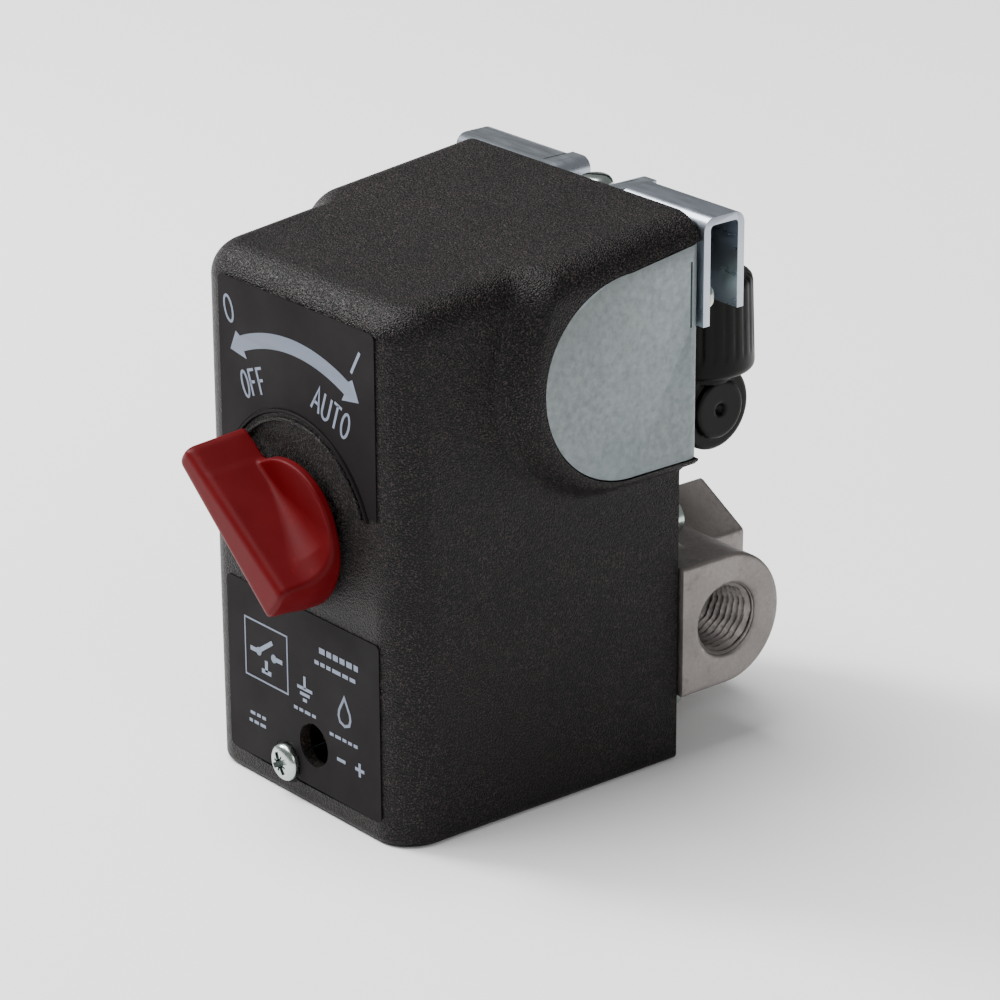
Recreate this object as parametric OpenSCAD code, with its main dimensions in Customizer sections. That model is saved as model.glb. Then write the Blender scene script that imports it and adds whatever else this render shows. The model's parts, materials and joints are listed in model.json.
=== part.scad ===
// Compressor pressure switch with an OFF / AUTO knob, four-way threaded flange,
// unloader valve and two cable clamps.
// X is the width, Y the depth from the knob face to the flange, Z the height.
// The origin is the centre of the box around the whole switch, on the face it stands on.

/* [Cover] */
// Width of the cover at its front face
cover_width = 58; // [57:0.5:58]
// Width across the two side bulges
bulge_width = 68; // [67.5:0.5:68]
// Depth of the cover from front face to open rim
cover_depth = 62.9; // [62.9:0.2:63.3]
// Height of the cover at its front face
front_height = 98; // [98:0.5:100]
// Height of the cover at its open rim
rim_height = 104.8; // [104.5:0.1:106]
// Wall thickness of the cover
wall = 2.2; // [1.8:0.1:2.2]
// Radius of the upright front corners
corner_r = 6; // [5:0.5:6]
// Radius of the edges round the top
edge_r = 5; // [4:0.5:5]
// Radius of the edges round the bottom
foot_r = 1.5; // [1.4:0.1:2]

/* [Knob] */
// Height of the knob axis above the base
knob_z = 52.5; // [51.8:0.1:52.5]
// Radius of the knob's disc
knob_r = 14; // [13.5:0.1:14.5]
// How far the knob's blade stands out from the cover
knob_reach = 13; // [12.5:0.5:14]
// Length of the blade from the knob's axis to its pointing end
blade_long = 20; // [19:0.5:21]
// Knob turn from OFF to AUTO, in degrees
knob_turn = 90; // [90:1:90]
// Angle of the knob's blade from upright at OFF
knob_rest = 52; // [45:1:52]

/* [Flange] */
// Height of the flange's port axes above the base
port_z = 25; // [25:0.1:25.4]
// Depth of the side ports' axis behind the cover's front face
port_y = 74.2; // [74:0.1:74.4]
// Distance from the middle to each side port's face
arm_reach = 30; // [29:0.5:31]
// Pitch radius of the 1/4 inch NPT threads
thread_r = 6.25; // [6.2:0.05:6.3]
// Depth of each threaded port
thread_length = 13; // [12:0.5:13]
// Distance across the flats of the rear port's hexagon
hex_flats = 22.6; // [22:0.2:23]
// Depth of the rear port's face behind the cover's front face
hex_face_y = 95; // [94:0.5:95]

/* [Mechanism] */
// Travel of the contact carrier as the knob turns
carrier_travel = 1.7; // [1.5:0.1:1.7]
// Width of the adjusting screw axis from the middle
adjuster_x = 3.4; // [3.2:0.1:3.6]
// Height of the adjusting screw axis
adjuster_z = 12.5; // [12.3:0.1:13]
// Thickness of the bent sheet metal
sheet = 1.5; // [1.5:0.1:1.5]

/* [Hidden] */
$fn = 48;

snug = 0.02;                                   // radial gap of a part fixed on a shaft
running = 0.05;                                // radial gap of a shaft that turns or slides
loose = 0.15;                                  // radial gap of a screw in a plain hole
past = 1;                                      // how far a cutter runs past the face it opens
mid_y = (hex_face_y - knob_reach) / 2;         // middle of the whole depth

frame_front = 61.9;                            // front face of the base plate
frame_back = frame_front + sheet;              // rear face of the base plate
flange_front = frame_back + 1.5;               // the diaphragm lies between frame and flange

dee_y = 47.3;                                    // centre of the round end of the side cheeks
dee_z = 80.3;
dee_r = 19.3;                                    // radius of the cheeks' round end
cheek_out = bulge_width / 2 - 0.2;             // outer face of the cheeks
top_slope = (rim_height - front_height) / cover_depth;

shaft_r = 3.2;                                 // knob shaft
shaft_tip = knob_reach - 3.2;                  // how far the shaft stands out into the knob
pivot_y = 50;                                  // hinge axis of the pressure lever
pivot_z = 48;
plunger_x = -5.5;                              // unloader plunger axis
plunger_z = 60.3;
elbow_x = 12;                                  // centre of the elbow's upright leg
elbow_y = 82.5;
piston_r = 9.5;                                // pressure piston
plate_back = flange_front + 4.6;                // rear face of the flange's plate
screw_y = frame_back + 4.6;                     // clamp screw axis
post_x = -4.6;                                 // cover screw axis
post_z = 6.6;
pole_x = 11;                                   // the two poles stand at plus and minus this
pole_z = 80;                                   // middle height of the contacts

// ---- helpers --------------------------------------------------------------------------------

module at_frame() { translate([0, -mid_y, 0]) children(); }

// A box given by its two opposite corners.
module block(low, high) { translate(low) cube(high - low); }

// Rods along each axis: start point, length and radius.
module rod_x(at, length, r) { translate(at) rotate([0, 90, 0]) cylinder(h = length, r = r); }
module rod_y(at, length, r) { translate(at) rotate([-90, 0, 0]) cylinder(h = length, r = r); }
module rod_z(at, length, r) { translate(at) cylinder(h = length, r = r); }

// An outline of (y, z) points pulled along X, of (x, z) points along Y, of (x, y) points along Z.
module along_x(x0, x1) { translate([x0, 0, 0]) rotate([90, 0, 90]) linear_extrude(x1 - x0) children(); }
module along_y(y0, y1) { translate([0, y1, 0]) rotate([90, 0, 0]) linear_extrude(y1 - y0) children(); }
module along_z(z0, z1) { translate([0, 0, z0]) linear_extrude(z1 - z0) children(); }

function arc(cx, cy, r, a0, a1, steps = 6) =
    [for (i = [0:steps]) let (a = a0 + (a1 - a0) * i / steps) [cx + r * cos(a), cy + r * sin(a)]];

function rounded(x0, y0, x1, y1, r) = concat(
    arc(x1 - r, y1 - r, r, 0, 90), arc(x0 + r, y1 - r, r, 90, 180),
    arc(x0 + r, y0 + r, r, 180, 270), arc(x1 - r, y0 + r, r, 270, 360));

// A coil spring along Y that starts at y0, swept as a closed tube.
module coil(at, length, coil_r, wire_r, turns) {
    sides = 6;
    rings = ceil(turns * 14);
    points = [for (i = [0:rings], j = [0:sides - 1])
        let (turn = 360 * turns * i / rings, side = 360 * j / sides)
        let (reach = coil_r + wire_r * cos(side))
        [reach * cos(turn), wire_r + (length - 2 * wire_r) * i / rings + wire_r * sin(side),
         reach * sin(turn)]];
    skin = [for (i = [0:rings - 1], j = [0:sides - 1])
        let (a = i * sides + j, b = i * sides + (j + 1) % sides)
        each [[a, a + sides, b], [b, a + sides, b + sides]]];
    start_cap = [for (j = [1:sides - 2]) [0, j, j + 1]];
    last = rings * sides;
    end_cap = [for (j = [1:sides - 2]) [last, last + j + 1, last + j]];
    translate(at) polyhedron(points, concat(skin, start_cap, end_cap));
}

// A screw along Y: the head starts at y = 0 and stands towards -Y, the shank runs towards +Y.
module pan_screw(at, head_r, head_h, shank_r, shank_l, slot_w) {
    translate(at) difference() {
        union() {
            rod_y([0, -head_h, 0], head_h, head_r);
            rod_y([0, 0, 0], shank_l, shank_r);
        }
        block([-head_r - past, -head_h - past, -slot_w / 2], [head_r + past, -head_h / 2, slot_w / 2]);
    }
}

// ---- cover ----------------------------------------------------------------------------------

// Outline of the cover from the side, drawn inwards by gap.
function side_outline(gap) =
    let (r = edge_r - gap / 2, foot = foot_r - gap / 2, top = front_height - gap, y0 = gap,
         tilt = atan(top_slope))
    concat(
        [[cover_depth + gap, gap], [cover_depth + gap, rim_height - gap + top_slope * gap]],
        arc(y0 + r, top - r, r, 90 + tilt, 180),
        arc(y0 + foot, gap + foot, foot, 180, 270));

// Outline of the cover from above.
function plan_outline(gap) =
    let (x = cover_width / 2 - gap, r = corner_r - gap / 2)
    concat([[x, cover_depth + gap], [-x, cover_depth + gap]],
        arc(-x + r, gap + r, r, 180, 270), arc(x - r, gap + r, r, 270, 360));

// Outline of one side bulge: round below and in front, and open towards the top and the rim.
function bulge_outline(gap) =
    let (r = dee_r + 2 - gap)
    concat([[cover_depth + gap, rim_height + 20], [dee_y - r, rim_height + 20]],
        arc(dee_y, dee_z, r, 180, 270, 10), [[cover_depth + gap, dee_z - r]]);

// Outline of a side cheek, with its rear edge at y1.
function dee_outline(grow, y1) =
    let (r = dee_r + grow)
    concat([[y1, dee_z - r], [y1, dee_z + r + 1.2]], arc(dee_y, dee_z, r, 90, 270, 14));

module cover_form(gap) {
    half = bulge_width / 2 - gap;
    top = rim_height + 20;
    intersection() {
        along_x(-half - past, half + past) polygon(side_outline(gap));
        along_y(-past, cover_depth + gap) polygon(concat(
            [[half, dee_z], [half, top], [-half, top], [-half, dee_z]],
            [[-half, gap + foot_r], [half, gap + foot_r]]));
        union() {
            along_z(gap - past, top) polygon(plan_outline(gap));
            along_x(-half, half) polygon(bulge_outline(gap));
        }
    }
    intersection() {
        along_x(-half - past, half + past) polygon(side_outline(gap));
        along_z(gap - past, dee_z) polygon(plan_outline(gap));
        along_y(-past, cover_depth + gap)
            polygon(rounded(gap - cover_width / 2, gap, cover_width / 2 - gap, dee_z + 10, foot_r));
    }
}

module cover() {
    ring_out = 21.6;
    ring_in = 19.6;
    color([0.15, 0.14, 0.14]) at_frame() difference() {
        union() {
            difference() {
                cover_form(0);
                cover_form(wall);
            }
            difference() {
                rod_y([0, -0.5, knob_z], 1, ring_out);
                rod_y([0, -past, knob_z], 2 + past, ring_in);
            }
            rod_y([post_x, 0, post_z], 3, 3.4);
        }
        for (side = [-1, 1])
            along_x(side * bulge_width / 2 - 4, side * bulge_width / 2 + 4)
                polygon(dee_outline(0.3, cover_depth + past));
        rod_y([0, -past, knob_z], wall + 2 * past, shaft_r + 0.3);
        rod_y([post_x, -past, post_z], 4 + past, 1.8);
        rod_y([adjuster_x, -past, adjuster_z], wall + 2 * past, 4.7);
    }
}

// Two printed films: the dial round the knob's upper side, and the data field below the knob.
module dial_label() {
    half = 22.5;
    low = 4.5;
    data_top = 37.8;
    dial_low = 60.8;
    color([0.20, 0.18, 0.18]) at_frame() difference() {
        along_y(-0.25, 0) polygon(rounded(-half, low, half, front_height - edge_r, 1.5));
        rod_y([0, -past, knob_z], 2 * past, 21.8);
        block([-half - past, -past, data_top], [half + past, past, dial_low]);
        rod_y([post_x, -past, post_z], 2 * past, 3.9);
        rod_y([adjuster_x, -past, adjuster_z], 2 * past, 4.8);
    }
}

module cover_screw() {
    color([0.80, 0.82, 0.80]) at_frame() pan_screw([post_x, 0, post_z], 3.5, 2, 1.6, 26, 1);
}

module cover_post() {
    color([0.70, 0.72, 0.74]) at_frame() difference() {
        translate([post_x, 20, post_z]) rotate([-90, 0, 0])
            cylinder(h = frame_front - 20, r = 3, $fn = 6);
        rod_y([post_x, 20 - past, post_z], 12 + past, 1.6 + running);
    }
}

// ---- frame ----------------------------------------------------------------------------------

module base_frame() {
    low_half = cover_width / 2 - wall - 0.3;
    plate_top = 100;
    plate_low = wall + 0.5;
    step_z = dee_z - dee_r;
    color([0.62, 0.65, 0.66]) at_frame() difference() {
        union() {
            block([-low_half, frame_front, plate_low], [low_half, frame_back, plate_top]);
            block([-cheek_out, frame_front, step_z], [cheek_out, frame_back, plate_top]);
            for (side = [-1, 1]) {
                outer = side * cheek_out;
                inner = side * (cheek_out - sheet);
                along_x(min(outer, inner), max(outer, inner)) polygon(dee_outline(0, frame_back));
            }
            block([-5, frame_back - sheet, 92], [5, screw_y + 3.5, 92 + sheet]);
        }
        // piston, unloader plunger, adjusting screw and clamp screw
        rod_y([0, frame_front - past, port_z], sheet + 2 * past, piston_r + 0.3);
        rod_y([plunger_x, frame_front - past, plunger_z], sheet + 2 * past, 3.2);
        rod_y([adjuster_x, frame_front - past, adjuster_z], sheet + 2 * past, 2.5 + running);
        rod_z([0, screw_y, 92 - past], sheet + 2 * past, 1.7 + loose);
        // cable windows, ground screw, flange screws and unloader screws
        for (side = [-1, 1]) {
            block([19 * side - 7, frame_front - past, 88], [19 * side + 7, frame_back + past, 98]);
            rod_y([unloader_ear_x(side), frame_front - past, plunger_z], sheet + 2 * past, 1.5 + running);
            for (level = [-1, 1])
                rod_y([17 * side, frame_front - past, port_z + 17 * level], sheet + 2 * past, 2 + running);
        }
        rod_y([30, frame_front - past, 89], sheet + 2 * past, 1.6 + running);
        // slits that free the small tab behind each cheek
        for (side = [-1, 1])
            block([side * cheek_out - 3, frame_front - 1.2, 85],
                  [side * cheek_out + 3, frame_front - 0.6, 97]);
    }
}

function unloader_ear_x(side) = side < 0 ? plunger_x - 11.5 : plunger_x + 13.5;

module mechanism_bracket() {
    half = 20;
    low = 44;
    high = 62;
    color([0.68, 0.70, 0.72]) at_frame() difference() {
        union() {
            block([-half, 22, low], [half, 22 + sheet, high]);
            for (side = [-1, 1]) {
                block([side * (half - sheet / 2) - sheet / 2, 22, low],
                      [side * (half - sheet / 2) + sheet / 2, frame_front, high]);
            }
        }
        rod_y([0, 22 - past, knob_z], sheet + 2 * past, shaft_r + running);
        rod_x([-half - past, pivot_y, pivot_z], 2 * half + 2 * past, 1.5 + running);
        block([-half - past, 26, 51], [half + past, 44, 58]);
    }
}

module lever_pin() {
    color([0.75, 0.76, 0.78]) at_frame() union() {
        rod_x([-21.5, pivot_y, pivot_z], 43, 1.5);
        rod_x([-22.5, pivot_y, pivot_z], 1.5, 2.6);
        rod_x([21, pivot_y, pivot_z], 1.5, 2.6);
    }
}

// ---- flange ---------------------------------------------------------------------------------

module flange_casting() {
    arm_r = 12.6;
    low_port_z = 3.5;
    chamfer = 0.7;
    color([0.55, 0.53, 0.50]) at_frame() difference() {
        union() {
            along_y(flange_front, plate_back) polygon(rounded(-22, port_z - 22, 22, port_z + 22, 6));
            rod_y([0, plate_back - past, port_z], 15, 13);
            rod_x([-arm_reach, port_y, port_z], 2 * arm_reach, arm_r);
            block([-arm_reach, flange_front, port_z - arm_r], [arm_reach, port_y, port_z + arm_r]);
            rod_z([0, port_y, low_port_z], port_z - low_port_z, 10.5);
            translate([0, plate_back - past, port_z]) rotate([-90, 30, 0])
                cylinder(h = hex_face_y - plate_back + past, r = hex_flats / sqrt(3), $fn = 6);
        }
        // the flat front face
        block([-arm_reach - past, port_y - 2 * arm_r, 0], [arm_reach + past, flange_front, 2 * port_z]);
        // threaded ports with their entry chamfers
        for (side = [-1, 1]) {
            rod_x([side > 0 ? arm_reach - thread_length : -arm_reach - past, port_y, port_z],
                  thread_length + past, thread_r);
            translate([side * (arm_reach - chamfer), port_y, port_z]) rotate([0, side * 90, 0])
                cylinder(h = chamfer + 0.01, r1 = thread_r, r2 = thread_r + chamfer);
        }
        rod_y([0, hex_face_y - thread_length, port_z], thread_length + past, thread_r);
        translate([0, hex_face_y - chamfer, port_z]) rotate([-90, 0, 0])
            cylinder(h = chamfer + 0.01, r1 = thread_r, r2 = thread_r + chamfer);
        rod_z([0, port_y, low_port_z - past], thread_length - 2 + past, thread_r);
        // passages to the pressure chamber under the diaphragm
        rod_x([past - arm_reach, port_y, port_z], 2 * (arm_reach - past), 3.5);
        rod_y([0, flange_front - past, port_z], hex_face_y - thread_length - flange_front + 2 * past, 4.2);
        rod_z([0, port_y, low_port_z], port_z - low_port_z, 3.5);
        rod_y([0, flange_front - past, port_z], past + 2, 14);
        for (side = [-1, 1], level = [-1, 1])
            rod_y([17 * side, flange_front - past, port_z + 17 * level],
                  plate_back - flange_front + 2 * past, 2 + running);
    }
}

module flange_screws() {
    color([0.72, 0.74, 0.76]) at_frame()
        for (side = [-1, 1], level = [-1, 1]) translate([17 * side, plate_back, port_z + 17 * level])
            difference() {
            union() {
                rod_y([0, frame_front - plate_back, 0], plate_back - frame_front, 2);
                rod_y([0, 0, 0], 2.4, 3.5);
            }
            translate([0, 1, 0]) rotate([-90, 0, 0]) cylinder(h = 2, r = 1.75, $fn = 6);
        }
}

module diaphragm() {
    color([0.10, 0.10, 0.10]) at_frame() difference() {
        along_y(frame_back, flange_front) polygon(rounded(-22, port_z - 22, 22, port_z + 22, 6));
        for (side = [-1, 1], level = [-1, 1])
            rod_y([17 * side, frame_back - past, port_z + 17 * level], 4, 2 + loose);
    }
}

// ---- switch mechanism -----------------------------------------------------------------------

block_front = 9;                               // contact block front and rear faces
block_back = 28;
foot_gap = 4.5;                                // contact tips stand this far from pole_z
clamp_gap = 10;                                // terminals stand this far from pole_z

module contact_block() {
    color([0.16, 0.15, 0.14]) at_frame() difference() {
        block([-22, block_front, pole_z - 15], [22, block_back, pole_z + 14]);
        for (pole = [-1, 1]) {
            for (level = [-1, 1]) {
                block([pole * pole_x - 2.6, block_front - past, pole_z + level * 6 - 0.7],
                      [pole * pole_x + 2.6, block_back + past, pole_z + level * 6 + 0.7]);
                rod_y([pole * pole_x, block_front - past, pole_z + level * clamp_gap], 9, 1.75 + running);
            }
            rod_y([pole * 17, block_back - 8, pole_z], 8 + past, 1.5 + running);
            rod_y([pole * pole_x, block_back - 2, pole_z], 2 + past, 2);
        }
        // channels that part the terminals
        block([-1.5, block_front - past, pole_z - 20], [1.5, block_front + 5, pole_z + 20]);
        block([-30, block_front - past, pole_z - 3], [30, block_front + 3, pole_z + 3]);
    }
}

module fixed_contacts() {
    color([0.80, 0.62, 0.28]) at_frame()
        for (pole = [-1, 1], level = [-1, 1]) translate([pole * pole_x, 0, pole_z]) difference() {
            union() {
                block([-4, block_front - 1, level * 10 - 4], [4, block_front, level * 10 + 4]);
                block([-2.5, block_front - 1, level * 6 - 0.6], [2.5, block_back + 1, level * 6 + 0.6]);
                block([-3, block_back, level * 5.2 - 2.8], [3, block_back + 1, level * 5.2 + 2.8]);
                rod_y([0, block_back + 1, level * foot_gap], 0.6, 1.8);
            }
            rod_y([0, block_front - 2, level * clamp_gap], 3, 1.75 + running);
        }
}

module terminal_screws() {
    color([0.78, 0.80, 0.82]) at_frame()
        for (pole = [-1, 1], level = [-1, 1])
            pan_screw([pole * pole_x, block_front - 2, pole_z + level * clamp_gap], 3, 1.8, 1.75, 8, 0.8);
}

module terminal_clamps() {
    color([0.70, 0.72, 0.74]) at_frame()
        for (pole = [-1, 1], level = [-1, 1]) translate([pole * pole_x, 0, pole_z + level * clamp_gap])
            difference() {
                block([-3.6, block_front - 2, -3.6], [3.6, block_front - 1, 3.6]);
                rod_y([0, block_front - 3, 0], 3, 1.75 + running);
            }
}

module guide_pins() {
    color([0.75, 0.76, 0.78]) at_frame() for (side = [-1, 1]) {
        rod_y([side * 17, block_back - 8, pole_z], 24, 1.5);
        rod_y([side * 17, block_back + 16, pole_z], 1.2, 3);
    }
}

carrier_front = 35;                            // the carrier's plate, in its OFF position
carrier_back = 38;
cam_top = 30.7;                                // rear face of the cam's lobe

module contact_carrier() {
    tail_back = 56;
    color([0.86, 0.84, 0.78]) at_frame() difference() {
        union() {
            block([-15, carrier_front, 56], [15, carrier_back, 90]);
            block([-20.5, carrier_front, pole_z - 4], [20.5, carrier_back, pole_z + 4]);
            block([-1.2, cam_top + 0.1, 58.5], [1.2, carrier_front, 61.5]);
            block([plunger_x - 2.5, carrier_back, 58.2], [plunger_x + 2.5, tail_back, 63.2]);
            block([plunger_x - 2.5, 52.8, 54.6], [plunger_x + 2.5, tail_back, 58.2]);
            for (pole = [-1, 1])
                rod_y([pole * pole_x, block_back + 2, pole_z], carrier_front - block_back - 2, 1.2);
        }
        for (side = [-1, 1])
            rod_y([side * 17, carrier_front - past, pole_z], 3 + 2 * past, 1.5 + running);
        block([-6, carrier_front - past, 68], [6, carrier_back + past, 86]);
    }
}

bridge_front = 31.4;                           // contact bridges, in the OFF position

module contact_bridges() {
    color([0.78, 0.50, 0.30]) at_frame() for (pole = [-1, 1]) difference() {
        union() {
            block([pole * pole_x - 3, bridge_front, pole_z - 8],
                  [pole * pole_x + 3, bridge_front + 1.2, pole_z + 8]);
            for (level = [-1, 1])
                rod_y([pole * pole_x, bridge_front - 0.05, pole_z + level * foot_gap], 0.3, 1.8);
        }
        rod_y([pole * pole_x, bridge_front - past, pole_z], 4, 1.2 + loose);
    }
}

module contact_springs() {
    color([0.80, 0.80, 0.82]) at_frame() for (pole = [-1, 1])
        coil([pole * pole_x, bridge_front + 1.25, pole_z], carrier_front - bridge_front - 1.3,
             2.2, 0.25, 3);
}

module return_springs() {
    color([0.80, 0.80, 0.82]) at_frame() for (side = [-1, 1])
        coil([side * 17, carrier_back + 0.05, pole_z], 5.9, 2.2, 0.3, 4);
}

module knob() {
    disc_back = -1;
    disc_front = -3.5;
    blade_short = knob_r - 0.5;
    base_half = 4.9;
    tip_half = 3.3;
    color([0.62, 0.07, 0.10]) at_frame() difference() {
        union() {
            rod_y([0, disc_front, knob_z], disc_back - disc_front, knob_r);
            translate([0, 0, knob_z]) rotate([0, -knob_rest, 0]) along_z(-blade_short, blade_long)
                polygon([[-base_half, disc_back], [base_half, disc_back], [base_half, disc_front],
                         [tip_half, -knob_reach], [-tip_half, -knob_reach], [-base_half, disc_front]]);
        }
        rod_y([0, -shaft_tip - 0.2, knob_z], shaft_tip + 0.2, shaft_r + snug);
    }
}

module knob_shaft() {
    color([0.20, 0.20, 0.20]) at_frame() rod_y([0, -shaft_tip, knob_z], shaft_tip + 29.5, shaft_r);
}

// Face cam: its lobe holds the carrier back at OFF and steps down towards AUTO.
module knob_cam() {
    plate_y = 25.5;
    plate_t = 3;
    steps = 5;
    nub_angle = 12;
    color([0.86, 0.84, 0.78]) at_frame() difference() {
        union() {
            rod_y([0, plate_y, knob_z], plate_t, 9);
            for (i = [-1:steps - 1]) {
                from = i * knob_turn / 6;
                to = from + knob_turn / 6;
                height = (cam_top - plate_y - plate_t - carrier_travel)
                    + carrier_travel * (1 - (to + nub_angle) / knob_turn);
                intersection() {
                    rod_y([0, plate_y, knob_z], plate_t + height, 8.5);
                    translate([0, 0, knob_z]) along_y(plate_y, cam_top) polygon([[0, 0],
                        [-12 * sin(from), 12 * cos(from)], [-12 * sin(to), 12 * cos(to)]]);
                }
            }
        }
        rod_y([0, plate_y - past, knob_z], plate_t + 4, shaft_r + snug);
    }
}

module shaft_clip() {
    color([0.70, 0.71, 0.73]) at_frame() difference() {
        rod_y([0, 20.6, knob_z], 1, 6.5);
        rod_y([0, 20, knob_z], 2, shaft_r + snug);
        block([-1.5, 20, knob_z - 8], [1.5, 22, knob_z]);
    }
}

// ---- pressure side --------------------------------------------------------------------------

lever_front = 49;
lever_back = 51.5;
spring_front = 22;

module main_lever() {
    color([0.66, 0.68, 0.70]) at_frame() difference() {
        union() {
            block([-10, lever_front, 5], [12, lever_back, 45.5]);
            rod_x([-15, pivot_y, pivot_z], 30, 3.2);
            block([plunger_x - 2.5, 47, pivot_z], [plunger_x + 2.5, 50, 57]);
            rod_y([adjuster_x, lever_front - 2, adjuster_z], 2, 6.2);
        }
        rod_x([-15 - past, pivot_y, pivot_z], 30 + 2 * past, 1.5 + running);
        rod_y([adjuster_x, lever_front - 3, adjuster_z], 6, 4);
        // notch that clears the cover post
        block([-10 - past, lever_front - past, 0], [post_x + 4, lever_back + past, 11]);
    }
}

module piston() {
    tip_r = 3;
    tip_y = lever_back + 0.1;
    color([0.80, 0.65, 0.35]) at_frame() union() {
        translate([0, tip_y + tip_r, port_z]) sphere(r = tip_r);
        rod_y([0, tip_y + tip_r, port_z], 57 - tip_y - tip_r, tip_r);
        rod_y([0, 57, port_z], frame_back - 57 - 0.02, piston_r);
    }
}

module main_spring() {
    color([0.60, 0.62, 0.64]) at_frame()
        coil([adjuster_x, spring_front + 0.05, adjuster_z], lever_front - 2.1 - spring_front, 4.6, 0.9, 6.5);
}

module spring_plate() {
    color([0.72, 0.74, 0.76]) at_frame() difference() {
        union() {
            rod_y([adjuster_x, 18, adjuster_z], 4, 5.9);
            block([adjuster_x, 18, adjuster_z - 5], [adjuster_x + 8, 20.5, adjuster_z + 5]);
        }
        rod_y([adjuster_x, 18 - past, adjuster_z], 6, 2.5 + running);
    }
}

module adjusting_screw() {
    color([0.78, 0.66, 0.36]) at_frame() difference() {
        union() {
            translate([adjuster_x, 4.5, adjuster_z]) rotate([-90, 0, 0]) cylinder(h = 4, r = 4, $fn = 6);
            rod_y([adjuster_x, 8.5, adjuster_z], frame_back - 8.7, 2.5);
        }
        block([adjuster_x - 5, 3.5, adjuster_z - 0.6], [adjuster_x + 5, 6, adjuster_z + 0.6]);
    }
}

// ---- unloader valve -------------------------------------------------------------------------

unloader_side = 1;                             // the side face that the elbow's spigot enters
spigot_r = 4;
barrel_r = 7.5;
seal_y = elbow_y - 7.3;                        // middle of the plunger's seal

module unloader_body() {
    left = -12;
    color([0.12, 0.12, 0.12]) at_frame() difference() {
        union() {
            block([left, frame_back, 51.5], [unloader_side, elbow_y + 7, 69.5]);
            block([unloader_ear_x(-1) - 4, frame_back, 56],
                  [unloader_ear_x(1) + 4, frame_back + 2.5, 65.4]);
        }
        rod_y([plunger_x, frame_back - past, plunger_z], 10 + past, 2.5 + running);
        rod_y([plunger_x, frame_back + 9, plunger_z], 11.1, 3.2);
        rod_x([left + 3, elbow_y, plunger_z], unloader_side - left, spigot_r + running);
        for (side = [-1, 1])
            rod_y([unloader_ear_x(side), frame_back - past, plunger_z], 5, 1.5 + running);
    }
}

module unloader_screws() {
    color([0.78, 0.80, 0.82]) at_frame() for (side = [-1, 1])
        translate([unloader_ear_x(side), frame_back + 2.5, plunger_z]) mirror([0, 1, 0])
            pan_screw([0, 0, 0], 2.8, 1.8, 1.5, 6, 0.8);
}

module unloader_plunger() {
    color([0.80, 0.65, 0.35]) at_frame() union() {
        rod_y([plunger_x, 56.1, plunger_z], seal_y - 0.7 - 56.1, 2.5);
        rod_y([plunger_x, seal_y - 0.7, plunger_z], 1.4, 1.8);
        rod_y([plunger_x, seal_y + 0.7, plunger_z], 0.8, 2.5);
    }
}

module plunger_seal() {
    color([0.08, 0.08, 0.08]) at_frame() translate([plunger_x, seal_y, plunger_z]) rotate([-90, 0, 0])
        rotate_extrude() translate([2.45, 0]) circle(r = 0.62);
}

module unloader_spring() {
    color([0.80, 0.80, 0.82]) at_frame() coil([plunger_x, seal_y + 1.55, plunger_z], 1.7, 2.1, 0.3, 2);
}

module unloader_elbow() {
    color([0.10, 0.10, 0.10]) at_frame() difference() {
        union() {
            rod_x([-8, elbow_y, plunger_z], 9.2, spigot_r);
            rod_x([unloader_side + 0.2, elbow_y, plunger_z], 15.8, barrel_r);
            rod_x([17, elbow_y, plunger_z], 1.5, 5.5);
            rod_z([elbow_x, elbow_y, plunger_z], 16, 5);
        }
        rod_x([17.9, elbow_y, plunger_z], 2, 1);
        rod_x([-9, elbow_y, plunger_z], 21, 1.5);
        rod_z([elbow_x, elbow_y, plunger_z], 12, 1.5);
        rod_z([elbow_x, elbow_y, 70.7], 8, 3.2);
    }
}

module tube_nut() {
    color([0.10, 0.10, 0.10]) at_frame() translate([elbow_x, elbow_y, 0]) difference() {
        translate([0, 0, 68.4]) cylinder(h = 17.6, r1 = 9.7, r2 = 9);
        rod_z([0, 0, 67], 12.2, 5 + snug);
        rod_z([0, 0, 79], 8, 3.2);
    }
}

module tube_ferrule() {
    color([0.80, 0.65, 0.35]) at_frame() translate([elbow_x, elbow_y, 0]) difference() {
        rod_z([0, 0, 76.75], 2.4, 4.6);
        rod_z([0, 0, 76], 4, 3.2);
    }
}

// ---- cable clamps ---------------------------------------------------------------------------

clamp_y = frame_back;                          // front face of the clamps' inner leg
clamp_w = 9.4;                                 // width over both legs
clamp_out = 34.2;                              // outer end, from the middle
clamp_in = 6.5;                                // inner end
clamp_top = 104.3;

// The right clamp, with its middle tab lying lap above the lug.
module cable_clamp(lap) {
    back = clamp_y + clamp_w;
    difference() {
        union() {
            block([clamp_in, clamp_y, clamp_top - sheet], [clamp_out, back, clamp_top]);
            block([clamp_in, clamp_y, 84.5], [clamp_out, clamp_y + sheet, clamp_top]);
            block([clamp_in, back - sheet, 86.5], [clamp_out, back, clamp_top]);
            block([-4, clamp_y, 98 + lap], [clamp_in + sheet, back, 98 + lap + sheet]);
        }
        rod_z([0, screw_y, 98 + lap - past], sheet + 2 * past, 1.7 + loose);
        block([12, clamp_y - past, 88], [26, clamp_y + sheet + past, 98]);
    }
}

module cable_clamp_right() {
    color([0.66, 0.70, 0.74]) at_frame() difference() {
        cable_clamp(0);
        rod_y([30, clamp_y - past, 89], sheet + 2 * past, 1.6 + running);
    }
}

module cable_clamp_left() {
    color([0.66, 0.70, 0.74]) at_frame() mirror([1, 0, 0]) cable_clamp(sheet);
}

module clamp_screw() {
    head_z = 98 + 2 * sheet;
    color([0.80, 0.82, 0.84]) at_frame() translate([0, screw_y, head_z]) difference() {
        union() {
            rod_z([0, 0, 0], 2.4, 3.2);
            rod_z([0, 0, -14], 14, 1.7);
        }
        block([-5, -0.5, 1.2], [5, 0.5, 4]);
    }
}

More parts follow.
